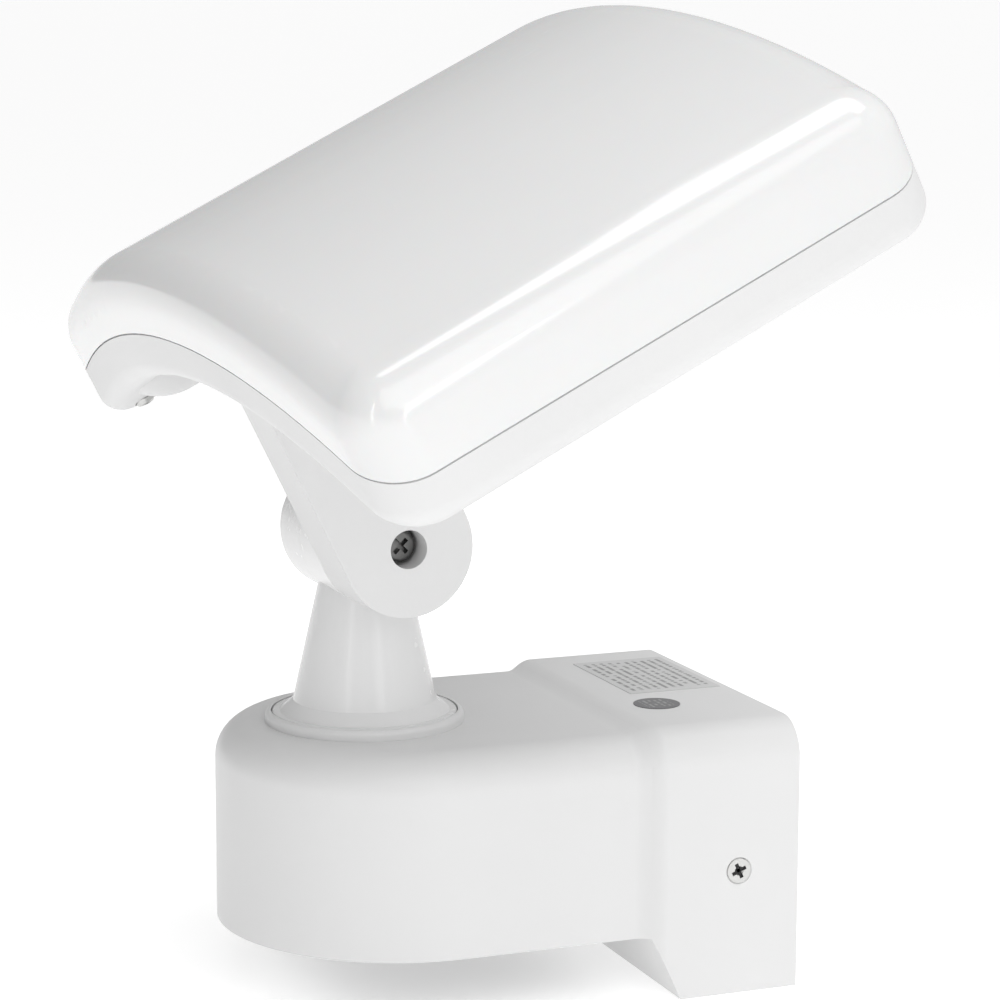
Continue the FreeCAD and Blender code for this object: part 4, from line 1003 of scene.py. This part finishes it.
class FLOODLIGHT_OT_stage(PieceOperator, bpy.types.Operator):
    """Set the floor, the soft studio lights and the camera"""
    bl_idname = "flood_light.stage"
    bl_label = "Stage"

    def execute(self, context):
        stage = context.scene.flood_light_stage
        self.floor(stage)
        self.ambient(context, stage)
        self.camera(context, stage)
        back, right = self.directions(stage)[:2]
        target = Vector(stage.target)
        self.light("key_light", target + KEY_PLACE, target, KEY_SIZE, stage.key)
        self.light("overhead_light", target + OVERHEAD_PLACE, target, OVERHEAD_SIZE,
                   stage.overhead)
        for name, turn in STRIP_TURNS:
            around = math.radians(turn)
            place = (back * math.cos(around) + right * math.sin(around)) * STRIP_REACH
            self.light(name, target + place, target, STRIP_SIZE, stage.edge)
        return {"FINISHED"}

    def directions(self, stage):
        """Unit vectors toward the camera, to its right and up."""
        a, e, r = stage.azimuth, stage.elevation, stage.roll
        back = Vector((math.sin(a) * math.cos(e), -math.cos(a) * math.cos(e), math.sin(e)))
        right = Vector((math.cos(a), math.sin(a), 0.0))
        up = back.cross(right)
        return (back, right * math.cos(r) + up * math.sin(r),
                up * math.cos(r) - right * math.sin(r))

    def floor(self, stage):
        mesh = bpy.data.meshes.new("studio_floor")
        work = bmesh.new()
        bmesh.ops.create_circle(work, cap_ends=True, segments=96, radius=FLOOR_RADIUS)
        work.to_mesh(mesh)
        work.free()
        mesh.transform(Matrix.Translation((0, 0, CAD_BOX[0].z - FLOOR_GAP)))
        glow = {"Emission Color": (1.0, 1.0, 1.0, 1.0), "Emission Strength": stage.floor_glow}
        mesh.materials.append(surface("pale_floor", (0.90, 0.90, 0.90), 0.8, 40.0, 0.01 * MM,
                                      0.004, **glow))
        add_object("studio_floor", mesh)

    def ambient(self, context, stage):
        world = bpy.data.worlds.new("studio_ambient")
        world.use_nodes = True
        tree = world.node_tree
        back = tree.nodes["Background"]
        back.inputs["Color"].default_value = (1.0, 1.0, 1.0, 1.0)
        toward = grow(tree, "ShaderNodeVectorMath",
                      {0: grow(tree, "ShaderNodeTexCoord").outputs["Generated"],
                       1: self.directions(stage)[1]}, operation="DOT_PRODUCT")
        strength = spread(tree, toward.outputs["Value"], -0.8, 0.8,
                          stage.ambient * (1 - stage.fall), stage.ambient * (1 + stage.fall))
        tree.links.new(strength, back.inputs["Strength"])
        context.scene.world = world

    def camera(self, context, stage):
        back, right, up = self.directions(stage)
        data = bpy.data.cameras.new("studio_camera")
        data.sensor_width = SENSOR_MM
        data.lens = stage.lens
        data.clip_start, data.clip_end = CLIP_NEAR, CLIP_FAR
        camera = bpy.data.objects.new("studio_camera", data)
        context.scene.collection.objects.link(camera)
        turn = Matrix((right, up, back)).transposed().to_4x4()
        camera.matrix_world = Matrix.Translation(
            Vector(stage.target) + back * stage.distance) @ turn
        context.scene.camera = camera
        context.scene.view_settings.view_transform = "Standard"

    def light(self, name, place, target, size, power):
        data = bpy.data.lights.new(name, "AREA")
        data.shape = "RECTANGLE"
        data.size, data.size_y = size
        data.energy = power
        lamp = bpy.data.objects.new(name, data)
        bpy.context.scene.collection.objects.link(lamp)
        turn = (place - target).to_track_quat("Z", "Y").to_matrix().to_4x4()
        lamp.matrix_world = Matrix.Translation(place) @ turn
        lamp.visible_camera = False


STEPS = (
    FLOODLIGHT_OT_case, FLOODLIGHT_OT_underside, FLOODLIGHT_OT_solar_panel,
    FLOODLIGHT_OT_battery, FLOODLIGHT_OT_controller, FLOODLIGHT_OT_bracket,
    FLOODLIGHT_OT_labels, FLOODLIGHT_OT_screws, FLOODLIGHT_OT_neck, FLOODLIGHT_OT_hinge,
    FLOODLIGHT_OT_tray, FLOODLIGHT_OT_cover, FLOODLIGHT_OT_lamps, FLOODLIGHT_OT_stage,
)


class FLOODLIGHT_PT_panel(bpy.types.Panel):
    """Sizes, colours and steps of the flood light"""
    bl_idname = "FLOODLIGHT_PT_panel"
    bl_label = "Flood Light"
    bl_space_type = "VIEW_3D"
    bl_region_type = "UI"
    bl_category = "Flood Light"

    def draw(self, context):
        for group in GROUPS:
            box = self.layout.box()
            settings = getattr(context.scene, GROUPS[group])
            for name in group.__annotations__:
                box.prop(settings, name)
        for step in STEPS:
            self.layout.operator(step.bl_idname)


GROUPS = {
    FloodLightColours: "flood_light_colours",
    FloodLightSizes: "flood_light_sizes",
    FloodLightStage: "flood_light_stage",
}


def register():
    for item in (*GROUPS, *STEPS, FLOODLIGHT_PT_panel):
        bpy.utils.register_class(item)
    for group, name in GROUPS.items():
        setattr(bpy.types.Scene, name, PointerProperty(type=group))


def unregister():
    for name in GROUPS.values():
        delattr(bpy.types.Scene, name)
    for item in reversed((*GROUPS, *STEPS, FLOODLIGHT_PT_panel)):
        bpy.utils.unregister_class(item)


def main():
    register()
    for step in STEPS:
        area, name = step.bl_idname.split(".")
        getattr(getattr(bpy.ops, area), name)()


if __name__ == "__main__":
    main()
